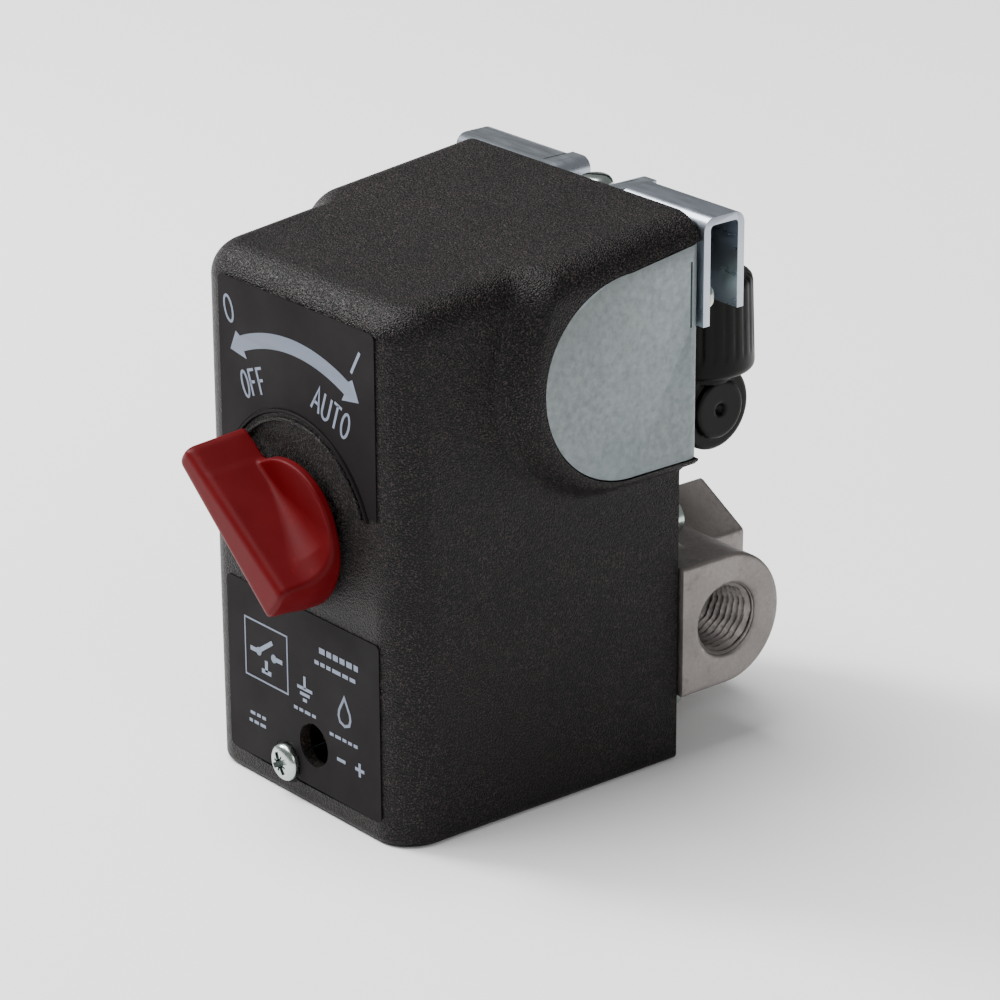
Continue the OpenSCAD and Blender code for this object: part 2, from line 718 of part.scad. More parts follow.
module clamp_nut() {
    color([0.80, 0.62, 0.28]) at_frame() difference() {
        block([-3.5, screw_y - 3.3, 88.8], [3.5, screw_y + 3.3, 92]);
        rod_z([0, screw_y, 88], 5, 1.7 + running);
    }
}

module ground_screw() {
    color([0.78, 0.80, 0.82]) at_frame() translate([30, clamp_y + sheet + 1, 89]) mirror([0, 1, 0])
        pan_screw([0, 0, 0], 2.9, 2, 1.6, 3.9, 0.8);
}

module ground_washer() {
    color([0.82, 0.62, 0.25]) at_frame() difference() {
        rod_y([30, clamp_y + sheet, 89], 1, 3.3);
        rod_y([30, clamp_y, 89], 4, 1.6 + running);
    }
}

cover();
dial_label();
cover_screw();
cover_post();
base_frame();
mechanism_bracket();
lever_pin();
flange_casting();
flange_screws();
diaphragm();
contact_block();
fixed_contacts();
terminal_screws();
terminal_clamps();
guide_pins();
return_springs();
main_spring();
unloader_body();
unloader_screws();
unloader_spring();
cable_clamp_left();
cable_clamp_right();
clamp_screw();
clamp_nut();
ground_screw();
ground_washer();
knob();
knob_shaft();
knob_cam();
shaft_clip();
main_lever();
piston();
contact_carrier();
contact_bridges();
contact_springs();
unloader_plunger();
plunger_seal();
adjusting_screw();
spring_plate();
unloader_elbow();
tube_nut();
tube_ferrule();
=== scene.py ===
import json
import math

import bmesh
import bpy
import numpy as np
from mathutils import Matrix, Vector


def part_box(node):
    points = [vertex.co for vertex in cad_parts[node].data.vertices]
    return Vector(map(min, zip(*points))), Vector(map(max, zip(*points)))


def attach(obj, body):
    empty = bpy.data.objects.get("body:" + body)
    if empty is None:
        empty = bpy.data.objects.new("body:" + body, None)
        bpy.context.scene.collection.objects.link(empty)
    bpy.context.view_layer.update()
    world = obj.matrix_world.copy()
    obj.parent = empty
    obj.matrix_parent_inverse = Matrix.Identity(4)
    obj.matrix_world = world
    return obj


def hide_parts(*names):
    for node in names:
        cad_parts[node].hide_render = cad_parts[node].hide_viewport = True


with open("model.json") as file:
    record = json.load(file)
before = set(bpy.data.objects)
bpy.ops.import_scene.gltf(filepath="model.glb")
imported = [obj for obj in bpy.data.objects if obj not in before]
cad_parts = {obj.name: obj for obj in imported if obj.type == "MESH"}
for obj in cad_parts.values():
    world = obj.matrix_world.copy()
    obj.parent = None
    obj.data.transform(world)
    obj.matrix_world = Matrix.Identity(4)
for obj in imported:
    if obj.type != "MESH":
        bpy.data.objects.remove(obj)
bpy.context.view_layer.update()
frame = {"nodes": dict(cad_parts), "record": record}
nodes = frame["nodes"]

# Shapes are written in millimetres: x across, y behind the cover's front face, z up.
MM = 0.001
FRONT_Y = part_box("cover_screw")[0].y + 2 * MM          # row y of the cover's front face
KNOB_Z = 52.5
PORT_Y, PORT_Z = 74.2, 25.0                            # axis of the side ports
FRAME_FRONT, FRAME_BACK = 61.9, 63.4                   # faces of the base plate
SCREW_X, SCREW_Z = -4.6, 6.6                           # cover screw
ACCESS_X, ACCESS_Z, ACCESS_R = 3.4, 12.5, 4.0          # hole over the adjusting screw


# ---- materials ----------------------------------------------------------------------------------

def new_material(name, color, rough, metal=0.0, specular=0.5):
    mat = bpy.data.materials.new(name)
    mat.use_nodes = True
    tree = mat.node_tree
    shader = tree.nodes["Principled BSDF"]
    shader.inputs["Base Color"].default_value = (*color, 1)
    shader.inputs["Roughness"].default_value = rough
    shader.inputs["Metallic"].default_value = metal
    shader.inputs["Specular IOR Level"].default_value = specular
    return mat, tree, shader


def object_coords(tree, stretch=(1, 1, 1)):
    coords = tree.nodes.new("ShaderNodeTexCoord")
    mapping = tree.nodes.new("ShaderNodeMapping")
    mapping.inputs["Scale"].default_value = stretch
    tree.links.new(coords.outputs["Object"], mapping.inputs["Vector"])
    return mapping.outputs["Vector"]


def noise(tree, vector, scale, detail=4.0, roughness=0.55):
    node = tree.nodes.new("ShaderNodeTexNoise")
    node.inputs["Scale"].default_value = scale
    node.inputs["Detail"].default_value = detail
    node.inputs["Roughness"].default_value = roughness
    tree.links.new(vector, node.inputs["Vector"])
    return node.outputs["Fac"]


def ramp(tree, value, stops):
    node = tree.nodes.new("ShaderNodeValToRGB")
    elements = node.color_ramp.elements
    while len(elements) < len(stops):
        elements.new(0.5)
    for element, (position, color) in zip(elements, stops):
        element.position = position
        element.color = (*color, 1)
    tree.links.new(value, node.inputs["Fac"])
    return node.outputs["Color"]


def span(tree, value, low, high, from_low=0.25, from_high=0.75):
    node = tree.nodes.new("ShaderNodeMapRange")
    for socket, number in (("From Min", from_low), ("From Max", from_high),
                           ("To Min", low), ("To Max", high)):
        node.inputs[socket].default_value = number
    tree.links.new(value, node.inputs["Value"])
    return node.outputs["Result"]


def bump(tree, shader, height, strength, distance, under=None):
    node = tree.nodes.new("ShaderNodeBump")
    node.inputs["Strength"].default_value = strength
    node.inputs["Distance"].default_value = distance
    tree.links.new(height, node.inputs["Height"])
    if under is not None:
        tree.links.new(under, node.inputs["Normal"])
    tree.links.new(node.outputs["Normal"], shader.inputs["Normal"])
    return node.outputs["Normal"]


def mixed(tree, kind, a, b, factor=1.0):
    node = tree.nodes.new("ShaderNodeMix")
    node.data_type = "RGBA"
    node.blend_type = kind
    if hasattr(factor, "is_linked"):
        tree.links.new(factor, node.inputs["Factor"])
    else:
        node.inputs["Factor"].default_value = factor
    colors = [s for s in node.inputs if s.type == "RGBA"]
    for value, socket in ((a, colors[0]), (b, colors[1])):
        if hasattr(value, "is_linked"):
            tree.links.new(value, socket)
        else:
            socket.default_value = (*value, 1)
    return [s for s in node.outputs if s.type == "RGBA"][0]


def worn_edges(tree, amount_low, amount_high):
    geometry = tree.nodes.new("ShaderNodeNewGeometry")
    return span(tree, geometry.outputs["Pointiness"], 0.0, 1.0, amount_low, amount_high)


def shade(color, factor):
    return tuple(min(1.0, c * factor) for c in color)


def pebbled_plastic(name, color):
    mat, tree, shader = new_material(name, color, 0.45, specular=0.15)
    vector = object_coords(tree)
    cells = tree.nodes.new("ShaderNodeTexVoronoi")
    cells.feature = "F1"
    cells.inputs["Scale"].default_value = 3000
    tree.links.new(vector, cells.inputs["Vector"])
    grains = span(tree, cells.outputs["Distance"], 1.0, 0.0, 0.0, 0.75)
    fine = noise(tree, vector, 3300, 1.5)
    cloud = noise(tree, vector, 60, 3.0)
    base = ramp(tree, cloud, [(0.3, shade(color, 0.8)), (0.7, shade(color, 1.25))])
    # Grain speckle in the colour: the low end darkens some grain, the bright end (up to 8x) is painted
    # highlight, glint specks standing in for light caught by the pebbles.
    grain_speckle_and_painted_glints = ramp(tree, fine, [(0.42, (0.20, 0.20, 0.20)), (0.55, (1.0, 0.98, 0.96)),
                                (0.66, (8.0, 7.4, 7.0))])
    tree.links.new(mixed(tree, "MULTIPLY", base, grain_speckle_and_painted_glints), shader.inputs["Base Color"])
    tree.links.new(span(tree, fine, 0.30, 0.58), shader.inputs["Roughness"])
    first = bump(tree, shader, grains, 0.8, 0.00014)
    bump(tree, shader, fine, 0.6, 0.00012, first)
    return mat


def smooth_plastic(name, color, rough, grain_scale=900, grain=0.06, spread=0.12, gloss=0.25):
    mat, tree, shader = new_material(name, color, rough, specular=gloss)
    vector = object_coords(tree)
    cloud = noise(tree, vector, 90, 3.0)
    grit = noise(tree, vector, grain_scale, 3.0)
    base = ramp(tree, cloud, [(0.3, shade(color, 1 - spread)), (0.7, shade(color, 1 + spread))])
    worn = mixed(tree, "MIX", base, shade(color, 1.5), worn_edges(tree, 0.54, 0.68))
    tree.links.new(worn, shader.inputs["Base Color"])
    tree.links.new(span(tree, cloud, rough * 0.85, min(1.0, rough * 1.2)), shader.inputs["Roughness"])
    bump(tree, shader, grit, grain, 0.0001)
    return mat


def metal(name, color, rough, stretch=(1, 1, 1), brush=500, depth=0.08, spread=0.1, tint=None,
          stain=None):
    mat, tree, shader = new_material(name, color, rough, metal=1.0)
    vector = object_coords(tree)
    drawn = noise(tree, object_coords(tree, stretch), brush, 4.0)
    cloud = noise(tree, vector, 70, 4.0)
    base = ramp(tree, cloud, [(0.3, shade(color, 1 - spread)), (0.7, shade(color, 1 + spread))])
    if tint is not None:
        wide = noise(tree, vector, 28, 2.0)
        base = mixed(tree, "MIX", base, tint, span(tree, wide, 0.0, 0.7, 0.4, 0.66))
    if stain is not None:
        spots = noise(tree, vector, 240, 6.0, 0.7)
        base = mixed(tree, "MIX", base, stain, span(tree, spots, 0.0, 0.6, 0.56, 0.74))
    worn = mixed(tree, "MIX", base, shade(color, 1.35), worn_edges(tree, 0.55, 0.7))
    tree.links.new(worn, shader.inputs["Base Color"])
    tree.links.new(span(tree, drawn, rough * 0.8, min(1.0, rough * 1.25)), shader.inputs["Roughness"])
    bump(tree, shader, drawn, depth, 0.0001)
    return mat


LOOKS = {
    "cover_plastic": pebbled_plastic("pebbled_black", (0.0046, 0.0038, 0.0038)),
    "label_film": smooth_plastic("label_film", (0.0042, 0.0030, 0.0034), 0.50, 1600, 0.05,
        spread=0.08, gloss=0.07),
    "label_print": smooth_plastic("label_print", (0.125, 0.145, 0.188), 0.5, 1600, 0.04, spread=0.06),
    "knob_plastic": smooth_plastic("knob_red", (0.080, 0.0005, 0.0019), 0.44, 1500, 0.06,
        spread=0.10, gloss=0.10),
    "valve_plastic": smooth_plastic("valve_black", (0.0026, 0.0021, 0.0017), 0.40, 700, 0.10,
        gloss=0.12),
    "block_plastic": smooth_plastic("moulding_compound", (0.030, 0.025, 0.022), 0.5),
    "carrier_plastic": smooth_plastic("natural_nylon", (0.60, 0.56, 0.46), 0.42),
    "seal_rubber": smooth_plastic("seal_rubber", (0.010, 0.010, 0.010), 0.75, 700, 0.15),
    "frame_zinc": metal("frame_zinc", (0.205, 0.235, 0.245), 0.60, (1, 1, 1), 900, 0.04, 0.05,
        tint=(0.215, 0.235, 0.230)),
    "clamp_zinc": metal("clamp_zinc", (0.39, 0.435, 0.48), 0.30, (0.2, 1, 1), 700, 0.06, 0.10,
        tint=(0.40, 0.43, 0.50)),
    "screw_zinc": metal("screw_zinc", (0.42, 0.475, 0.45), 0.24, brush=900, depth=0.08,
        spread=0.12, tint=(0.46, 0.56, 0.48)),
    "cast_alloy": metal("cast_alloy", (0.235, 0.215, 0.205), 0.50, brush=1400, depth=0.45,
        spread=0.18, stain=(0.11, 0.092, 0.080)),
    "brass": metal("brass", (0.46, 0.29, 0.10), 0.30, brush=900, depth=0.05),
    "spring_steel": metal("spring_steel", (0.38, 0.39, 0.41), 0.28, brush=1200),
    "copper": metal("copper", (0.55, 0.26, 0.15), 0.32, brush=1200),
}

for part in frame["record"]["subparts"]:
    mesh = nodes[part["node"]].data
    mesh.materials.clear()
    mesh.materials.append(LOOKS[part["material_slot"]])


# ---- mesh helpers -------------------------------------------------------------------------------

def place(points):
    """Millimetre points to the row frame, in metres."""
    out = np.array(points, float).reshape(-1, 3) * MM
    out[:, 1] += FRONT_Y
    return out


def piece(name, points, faces, slot, body="housing", replaces=(), smooth=35.0, placed=False):
    """A mesh object from millimetre points that rides on a body."""
    mesh = bpy.data.meshes.new(name)
    mesh.from_pydata((points if placed else place(points)).tolist(), [], [list(f) for f in faces])
    obj = bpy.data.objects.new(name, mesh)
    bpy.context.scene.collection.objects.link(obj)
    mesh.materials.append(LOOKS[slot])
    finish_normals(obj, smooth)
    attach(obj, body)
    if replaces:
        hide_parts(*replaces)
    return obj


def finish_normals(obj, angle):
    work = bmesh.new()
    work.from_mesh(obj.data)
    bmesh.ops.remove_doubles(work, verts=work.verts, dist=1e-7)
    bmesh.ops.recalc_face_normals(work, faces=work.faces)
    limit = math.radians(angle)
    for face in work.faces:
        face.smooth = True
    for edge in work.edges:
        edge.smooth = len(edge.link_faces) == 2 and edge.calc_face_angle(0.0) < limit
    work.to_mesh(obj.data)
    work.free()


def apply_modifiers(obj):
    graph = bpy.context.evaluated_depsgraph_get()
    mesh = bpy.data.meshes.new_from_object(obj.evaluated_get(graph))
    obj.modifiers.clear()
    obj.data = mesh


def scratch(points, faces):
    mesh = bpy.data.meshes.new("cutter")
    mesh.from_pydata(place(points).tolist(), [], [list(f) for f in faces])
    obj = bpy.data.objects.new("cutter", mesh)
    bpy.context.scene.collection.objects.link(obj)
    work = bmesh.new()
    work.from_mesh(mesh)
    bmesh.ops.recalc_face_normals(work, faces=work.faces)
    work.to_mesh(mesh)
    work.free()
    return obj


def box_of(obj):
    co = np.array([v.co for v in obj.data.vertices], float).reshape(-1, 3)
    if len(co) < 8:
        raise RuntimeError(obj.name + " lost its faces")
    return co.min(0), co.max(0)


def carve(obj, cutters):
    """Cuts solids out of a piece, and stops if a cut has taken the piece itself away."""
    before = box_of(obj)
    for cutter in cutters:
        modifier = obj.modifiers.new("cut", "BOOLEAN")
        modifier.operation = "DIFFERENCE"
        modifier.solver = "EXACT"
        modifier.object = cutter
    apply_modifiers(obj)
    for cutter in cutters:
        bpy.data.objects.remove(cutter)
    after = box_of(obj)
    if max(np.abs(before[0] - after[0]).max(), np.abs(before[1] - after[1]).max()) > 4 * MM:
        raise RuntimeError(obj.name + " changed its size when it was cut")


BEVEL_SEGMENTS = 2
BEVEL_ANGLE = 35.0


def bevel_edges(obj, width):
    modifier = obj.modifiers.new("bevel", "BEVEL")
    modifier.width = width * MM
    modifier.segments = BEVEL_SEGMENTS
    modifier.limit_method = "ANGLE"
    modifier.angle_limit = math.radians(BEVEL_ANGLE)
    modifier.harden_normals = False
    apply_modifiers(obj)
    finish_normals(obj, 50.0)


def prism(outline, low, high, axis):
    """Points and faces of an outline pulled along axis 0, 1 or 2. The outline gives the other two."""
    count = len(outline)
    points = []
    for level in (low, high):
        for a, b in outline:
            point = [a, b]
            point.insert(axis, level)
            points.append(point)
    faces = [[i, (i + 1) % count, count + (i + 1) % count, count + i] for i in range(count)]
    faces.append(list(range(count)))
    faces.append(list(range(count, 2 * count)))
    return points, faces


def arc(cx, cy, r, a0, a1, steps=12):
    return [(cx + r * math.cos(math.radians(a0 + (a1 - a0) * i / steps)),
             cy + r * math.sin(math.radians(a0 + (a1 - a0) * i / steps))) for i in range(steps + 1)]


def rounded(x0, y0, x1, y1, r, steps=6):
    return (arc(x1 - r, y1 - r, r, 0, 90, steps) + arc(x0 + r, y1 - r, r, 90, 180, steps)
            + arc(x0 + r, y0 + r, r, 180, 270, steps) + arc(x1 - r, y0 + r, r, 270, 360, steps))


def around(centre, axis, along, radius, k, steps):
    """Point k of steps on a circle round an axis through centre."""
    turn = 2 * math.pi * k / steps
    a, b = radius * math.cos(turn), radius * math.sin(turn)
    offset = {0: (along, a, b), 1: (b, along, a), 2: (a, b, along)}[axis]
    return [centre[i] + offset[i] for i in range(3)]


def lathe(profile, centre, axis, steps=64):
    """A closed solid of revolution. profile gives (along, radius) from one end to the other."""
    points, faces = [], []
    rows = len(profile)
    for along, radius in profile:
        points += [around(centre, axis, along, radius, k, steps) for k in range(steps)]
    for row in range(rows - 1):
        for k in range(steps):
            n = (k + 1) % steps
            faces.append([row * steps + k, row * steps + n, (row + 1) * steps + n, (row + 1) * steps + k])
    faces.append(list(range(steps)))
    faces.append(list(range((rows - 1) * steps, rows * steps)))
    return points, faces


# ---- distance fields for cast and moulded shapes ------------------------------------------------

def smooth_min(a, b, k):
    h = np.clip(0.5 + 0.5 * (b - a) / k, 0, 1)
    return b + (a - b) * h - k * h * (1 - h)


def smooth_max(a, b, k):
    return -smooth_min(-a, -b, k)


def box_field(p, low, high, r=0.0):
    centre = [(a + b) / 2 for a, b in zip(low, high)]
    q = [abs(p[i] - centre[i]) - ((high[i] - low[i]) / 2 - r) for i in range(3)]
    outer = np.sqrt(sum(np.maximum(v, 0) ** 2 for v in q))
    return outer + np.minimum(np.maximum(np.maximum(q[0], q[1]), q[2]), 0) - r


def rod_field(p, axis, centre, radius, low, high, r=0.0):
    others = [i for i in range(3) if i != axis]
    radial = np.hypot(p[others[0]] - centre[0], p[others[1]] - centre[1]) - (radius - r)
    along = abs(p[axis] - (low + high) / 2) - ((high - low) / 2 - r)
    outer = np.hypot(np.maximum(radial, 0), np.maximum(along, 0))
    return outer + np.minimum(np.maximum(radial, along), 0) - r


def skin(field, low, high, step):
    """Quads on the zero surface of a field, in millimetres."""
    low = np.array(low, float)
    counts = [int(math.ceil((high[i] - low[i]) / step)) + 1 for i in range(3)]
    ticks = [low[i] + step * np.arange(counts[i]) for i in range(3)]
    values = field(np.meshgrid(*ticks, indexing="ij"))
    inside = values < 0

    def corner(array, shift):
        return array[shift[0]:counts[0] - 1 + shift[0], shift[1]:counts[1] - 1 + shift[1],
                     shift[2]:counts[2] - 1 + shift[2]]

    shifts = [(i, j, k) for i in (0, 1) for j in (0, 1) for k in (0, 1)]
    total = sum(corner(inside, s).astype(np.int8) for s in shifts)
    active = (total > 0) & (total < 8)
    index = -np.ones(active.shape, int)
    index[active] = np.arange(active.sum())
    cells = np.argwhere(active)
    sums = np.zeros((len(cells), 3))
    weight = np.zeros(len(cells))
    for a in shifts:
        for axis in range(3):
            if a[axis]:
                continue
            b = tuple(v + (1 if i == axis else 0) for i, v in enumerate(a))
            fa = corner(values, a)[active]
            fb = corner(values, b)[active]
            hit = (fa < 0) != (fb < 0)
            t = np.where(hit, fa / np.where(hit, fa - fb, 1), 0)
            crossing = cells + np.array(a) + t[:, None] * (np.array(b) - np.array(a))
            sums[hit] += crossing[hit]
            weight[hit] += 1
    points = low + step * sums / weight[:, None]
    faces = []
    for axis in range(3):
        u, v = [(1, 2), (2, 0), (0, 1)][axis]
        take = [slice(1, counts[i] - 1) for i in range(3)]
        take[axis] = slice(0, counts[axis] - 1)
        ahead = list(take)
        ahead[axis] = slice(1, counts[axis])
        here, there = inside[tuple(take)], inside[tuple(ahead)]
        for flip, mask in ((False, here & ~there), (True, ~here & there)):
            spots = np.argwhere(mask) + np.array([0 if i == axis else 1 for i in range(3)])
            ring_ids = []
            for du, dv in ((-1, -1), (0, -1), (0, 0), (-1, 0)):
                cell = spots.copy()
                cell[:, u] += du
                cell[:, v] += dv
                ring_ids.append(index[cell[:, 0], cell[:, 1], cell[:, 2]])
            quads = np.stack(ring_ids[::-1] if flip else ring_ids, 1)
            faces.append(quads)
    for _ in range(5):
        p = [points[:, i] for i in range(3)]
        value = field(p)
        slope = np.zeros_like(points)
        for i in range(3):
            q = [c.copy() for c in p]
            q[i] = q[i] + 0.02
            slope[:, i] = (field(q) - value) / 0.02
        size = np.maximum((slope ** 2).sum(1), 0.05)
        move = slope * (value / size)[:, None]
        length = np.linalg.norm(move, axis=1)
        move *= np.minimum(1, 0.35 * step / np.maximum(length, 1e-9))[:, None]
        points = points - move
    return points, np.concatenate(faces)


# ---- cover --------------------------------------------------------------------------------------

COVER_HALF = 29.0
COVER_DEPTH = 62.9
FRONT_TOP = 98.0
RIM_RISE = 6.8
BULGE = 5.0
EDGE_R = 5.6
COLUMN_R = 7.6
DRAFT = 0.45
FOOT_R = 1.4
DEE_Y, DEE_Z = 47.3, 79.8


def dee_outline(grow, rear):
    """Side cheek outline in (y, z): round below and in front, flatter on top."""
    r, rise = 19.3 + grow, 18.2 + grow
    points = [(rear, DEE_Z - r)]
    for i in range(25):
        turn = math.radians(270 - 90 * i / 24)
        points.append((DEE_Y + r * math.cos(turn), DEE_Z + r * math.sin(turn)))
    for i in range(1, 25):
        turn = math.radians(180 - 90 * i / 24)
        points.append((DEE_Y + r * math.cos(turn), DEE_Z + rise * math.sin(turn)))
    points.append((rear, DEE_Z + rise + 0.14 * (rear - DEE_Y)))
    return points


def bulge_height(y, z):
    """How far the side stands out of its plane, from 0 to BULGE."""
    dy, dz = np.maximum(DEE_Y - y, 0), DEE_Z - z
    angle = np.clip(np.arctan2(np.maximum(dz, 0), np.maximum(dy, 1e-6)) / (math.pi / 2), 0, 1)
    below = np.hypot(dy, np.maximum(dz, 0)) - (24.0 - 2.4 * angle)
    above = dy - (24.0 - 6.0 * (np.maximum(-dz, 0) / 21.0) ** 2)
    away = np.where(dz > 0, below, above)
    half = 3.1 - 1.2 * angle
    t = np.clip((half - away) / (2 * half), 0, 1)
    return BULGE * t * t * (3 - 2 * t)


def cover_field(p, inset):
    """Rounded column, closed by a soft top and a nearly sharp bottom, drawn inwards by inset."""
    x, y, z = p
    edge, foot = EDGE_R - 0.6 * inset, max(0.4, FOOT_R - inset)
    upright = COLUMN_R - 0.6 * inset
    qx, qy = abs(x) - (COVER_HALF - inset - upright), inset + upright - y
    column = np.hypot(np.maximum(qx, 0), np.maximum(qy, 0)) + np.minimum(np.maximum(qx, qy), 0)
    column += edge - upright
    qz = z - FRONT_TOP + inset + edge
    body = np.hypot(np.maximum(column, 0), np.maximum(qz, 0)) + np.minimum(np.maximum(column, qz), 0) - edge
    qa, qb = body + foot, inset + foot - z
    return np.hypot(np.maximum(qa, 0), np.maximum(qb, 0)) + np.minimum(np.maximum(qa, qb), 0) - foot


def cover_point(p, inset):
    """Maps points on the plain outer box to the cover's skin, drawn inwards by inset."""
    out = p.copy()
    out[:, 0] *= (COVER_HALF - inset) / COVER_HALF
    out[:, 1] = inset + out[:, 1] * (COVER_DEPTH - inset) / COVER_DEPTH
    out[:, 2] = inset + out[:, 2] * (FRONT_TOP - 2 * inset) / FRONT_TOP
    nudge = 1e-3
    for _ in range(24):
        value = cover_field(out.T, inset)
        slope = np.stack([(cover_field((out + nudge * np.eye(3)[i]).T, inset) - value) / nudge
                          for i in range(3)], 1)
        out -= slope * (value / np.maximum((slope ** 2).sum(1), 0.2))[:, None]
    lift = np.clip((out[:, 2] - 40) / 58, 0, 1)
    out[:, 2] += RIM_RISE * out[:, 1] / COVER_DEPTH * lift
    out[:, 0] *= 1 + bulge_height(out[:, 1], out[:, 2]) / (COVER_HALF - inset)
    narrowing = DRAFT * np.clip((60 - out[:, 2]) / 60, 0, 1) * (1 - out[:, 1] / COVER_DEPTH)
    out[:, 0] *= 1 - narrowing / COVER_HALF
    return out


def ticks(low, high, margin_low, margin_high, fine, coarse):
    parts = []
    a, b = low + margin_low, high - margin_high
    if margin_low:
        parts.append(np.linspace(low, a, int(round(margin_low / fine)) + 1)[:-1])
    parts.append(np.linspace(a, b, int(round((b - a) / coarse)) + 1))
    if margin_high:
        parts.append(np.linspace(b, high, int(round(margin_high / fine)) + 1)[1:])
    return np.concatenate(parts)


COVER_WALL = 2.0


def cover_grid():
    """Points and quads of a plain box that is open at the back, each corner point held once."""
    xs = ticks(-COVER_HALF, COVER_HALF, COLUMN_R, COLUMN_R, 0.7, 1.2)
    ys = ticks(0, COVER_DEPTH, COLUMN_R, 0, 0.7, 0.6)
    zs = ticks(0, FRONT_TOP, 2.8, EDGE_R, 0.35, 0.75)
    found, points, faces = {}, [], []

    def sheet(grid):
        rows, columns = grid.shape[:2]
        ids = np.zeros((rows, columns), int)
        for i in range(rows):
            for k in range(columns):
                key = tuple(np.round(grid[i, k], 5))
                if key not in found:
                    found[key] = len(points)
                    points.append(grid[i, k])
                ids[i, k] = found[key]
        for i in range(rows - 1):
            for k in range(columns - 1):
                faces.append([ids[i, k], ids[i, k + 1], ids[i + 1, k + 1], ids[i + 1, k]])

    for side in (-1, 1):
        sheet(np.stack(np.meshgrid([side * COVER_HALF], ys, zs, indexing="ij"), -1)[0])
    sheet(np.stack(np.meshgrid(xs, [0.0], zs, indexing="ij"), -1)[:, 0])
    for level in (0.0, FRONT_TOP):
        sheet(np.stack(np.meshgrid(xs, ys, [level], indexing="ij"), -1)[:, :, 0])
    return np.array(points), faces


def make_cover():
    plain, quads = cover_grid()
    count = len(plain)
    edges = {}
    for quad in quads:
        for a, b in zip(quad, quad[1:] + quad[:1]):
            key = (min(a, b), max(a, b))
            edges[key] = edges.get(key, 0) + 1
    faces = quads + [[v + count for v in quad] for quad in quads]
    faces += [[a, b, b + count, a + count] for (a, b), uses in edges.items() if uses == 1]
    points = np.concatenate([cover_point(plain, 0.0), cover_point(plain, COVER_WALL)])
    obj = piece("cover_shell", points, faces, "cover_plastic", replaces=["cover"], smooth=40)
    cutters = []
    for side in (-1, 1):
        low, high = sorted((side * 30.0, side * 40.0))
        cutters.append(scratch(*prism(dee_outline(0.25, COVER_DEPTH + 3), low, high, 0)))
    cutters.append(scratch(*lathe([(-3, ACCESS_R), (5, ACCESS_R)], (ACCESS_X, 0, ACCESS_Z), 1, 48)))
    carve(obj, cutters)
    finish_normals(obj, 42)


make_cover()


def arc_band(name, r0, r1, back, front, a0, a1, slot):
    """A raised band round the knob's axis, with softened edges; angles from upright, clockwise."""
    section = [(r0, back), (r0, front + 0.2), (r0 + 0.15, front), (r1 - 0.15, front),
               (r1, front + 0.2), (r1, back)]
    steps, points, faces = 72, [], []
    for i in range(steps + 1):
        a = math.radians(a0 + (a1 - a0) * i / steps)
        points += [[r * math.sin(a), y, KNOB_Z + r * math.cos(a)] for r, y in section]
    count = len(section)
    for i in range(steps):
        for k in range(count):
            n = (k + 1) % count
            faces.append([i * count + k, i * count + n, (i + 1) * count + n, (i + 1) * count + k])
    faces += [list(range(count)), list(range(steps * count, (steps + 1) * count))]
    piece(name, points, faces, slot, smooth=40)


arc_band("stop_band", 19.5, 20.2, 0.4, -0.5, -58, 68, "cover_plastic")
arc_band("stop_rim", 21.0, 21.7, 0.4, -0.5, -58, 70, "label_film")


# ---- label and its print ------------------------------------------------------------------------

def flat_plate(name, loops, front, back, slot, replaces=()):
    """A thin plate in the x z plane from closed loops; the first is the outline, the rest are holes."""
    curve = bpy.data.curves.new(name, "CURVE")
    curve.dimensions = "2D"
    curve.fill_mode = "BOTH"
    curve.extrude = (back - front) / 2 * MM
    for loop in loops:
        spline = curve.splines.new("POLY")
        spline.points.add(len(loop) - 1)
        for point, (x, z) in zip(spline.points, loop):
            point.co = (x * MM, z * MM, 0, 1)
        spline.use_cyclic_u = True
    holder = bpy.data.objects.new(name, curve)
    bpy.context.scene.collection.objects.link(holder)
    graph = bpy.context.evaluated_depsgraph_get()
    graph.update()
    mesh = bpy.data.meshes.new_from_object(holder.evaluated_get(graph))
    co = np.array([v.co for v in mesh.vertices], float)
    points = np.stack([co[:, 0], FRONT_Y + (front + back) / 2 * MM - co[:, 2], co[:, 1]], 1)
    faces = [list(p.vertices) for p in mesh.polygons]
    bpy.data.objects.remove(holder)
    return piece(name, points, faces, slot, replaces=replaces, smooth=30, placed=True)


def circle(cx, cz, r, steps=96):
    return [(cx + r * math.cos(2 * math.pi * i / steps), cz + r * math.sin(2 * math.pi * i / steps))
            for i in range(steps)]


LABEL_FRONT = -0.16
HOLE_R = 21.9
FIELD_LEFT, FIELD_RIGHT = -21.6, 22.6
UPPER_FOOT = 60.8


def upper_field():
    """Outline of the dial field: square above, cut away round the knob below."""
    corner = rounded(FIELD_LEFT, UPPER_FOOT, FIELD_RIGHT, 94.3, 1.2)
    top = [p for p in corner if p[1] > 70]
    reach = math.sqrt(HOLE_R ** 2 - (UPPER_FOOT - KNOB_Z) ** 2)
    start = math.degrees(math.atan2(UPPER_FOOT - KNOB_Z, -reach))
    end = math.degrees(math.atan2(UPPER_FOOT - KNOB_Z, reach))
    foot = arc(0, KNOB_Z, HOLE_R, start, end, 72)
    return top + [(FIELD_LEFT, UPPER_FOOT)] + foot + [(FIELD_RIGHT, UPPER_FOOT)]


label_loops = [upper_field(), rounded(FIELD_LEFT, 4.2, FIELD_RIGHT, 37.8, 1.0),
               circle(SCREW_X, SCREW_Z, 3.9, 48), circle(ACCESS_X, ACCESS_Z, ACCESS_R + 0.1, 48)]
flat_plate("dial_film", label_loops, LABEL_FRONT, 0.04, "label_film", replaces=["dial_label"])

INK_FRONT, INK_BACK = LABEL_FRONT - 0.05, LABEL_FRONT + 0.02
ARC_Z = 49.8


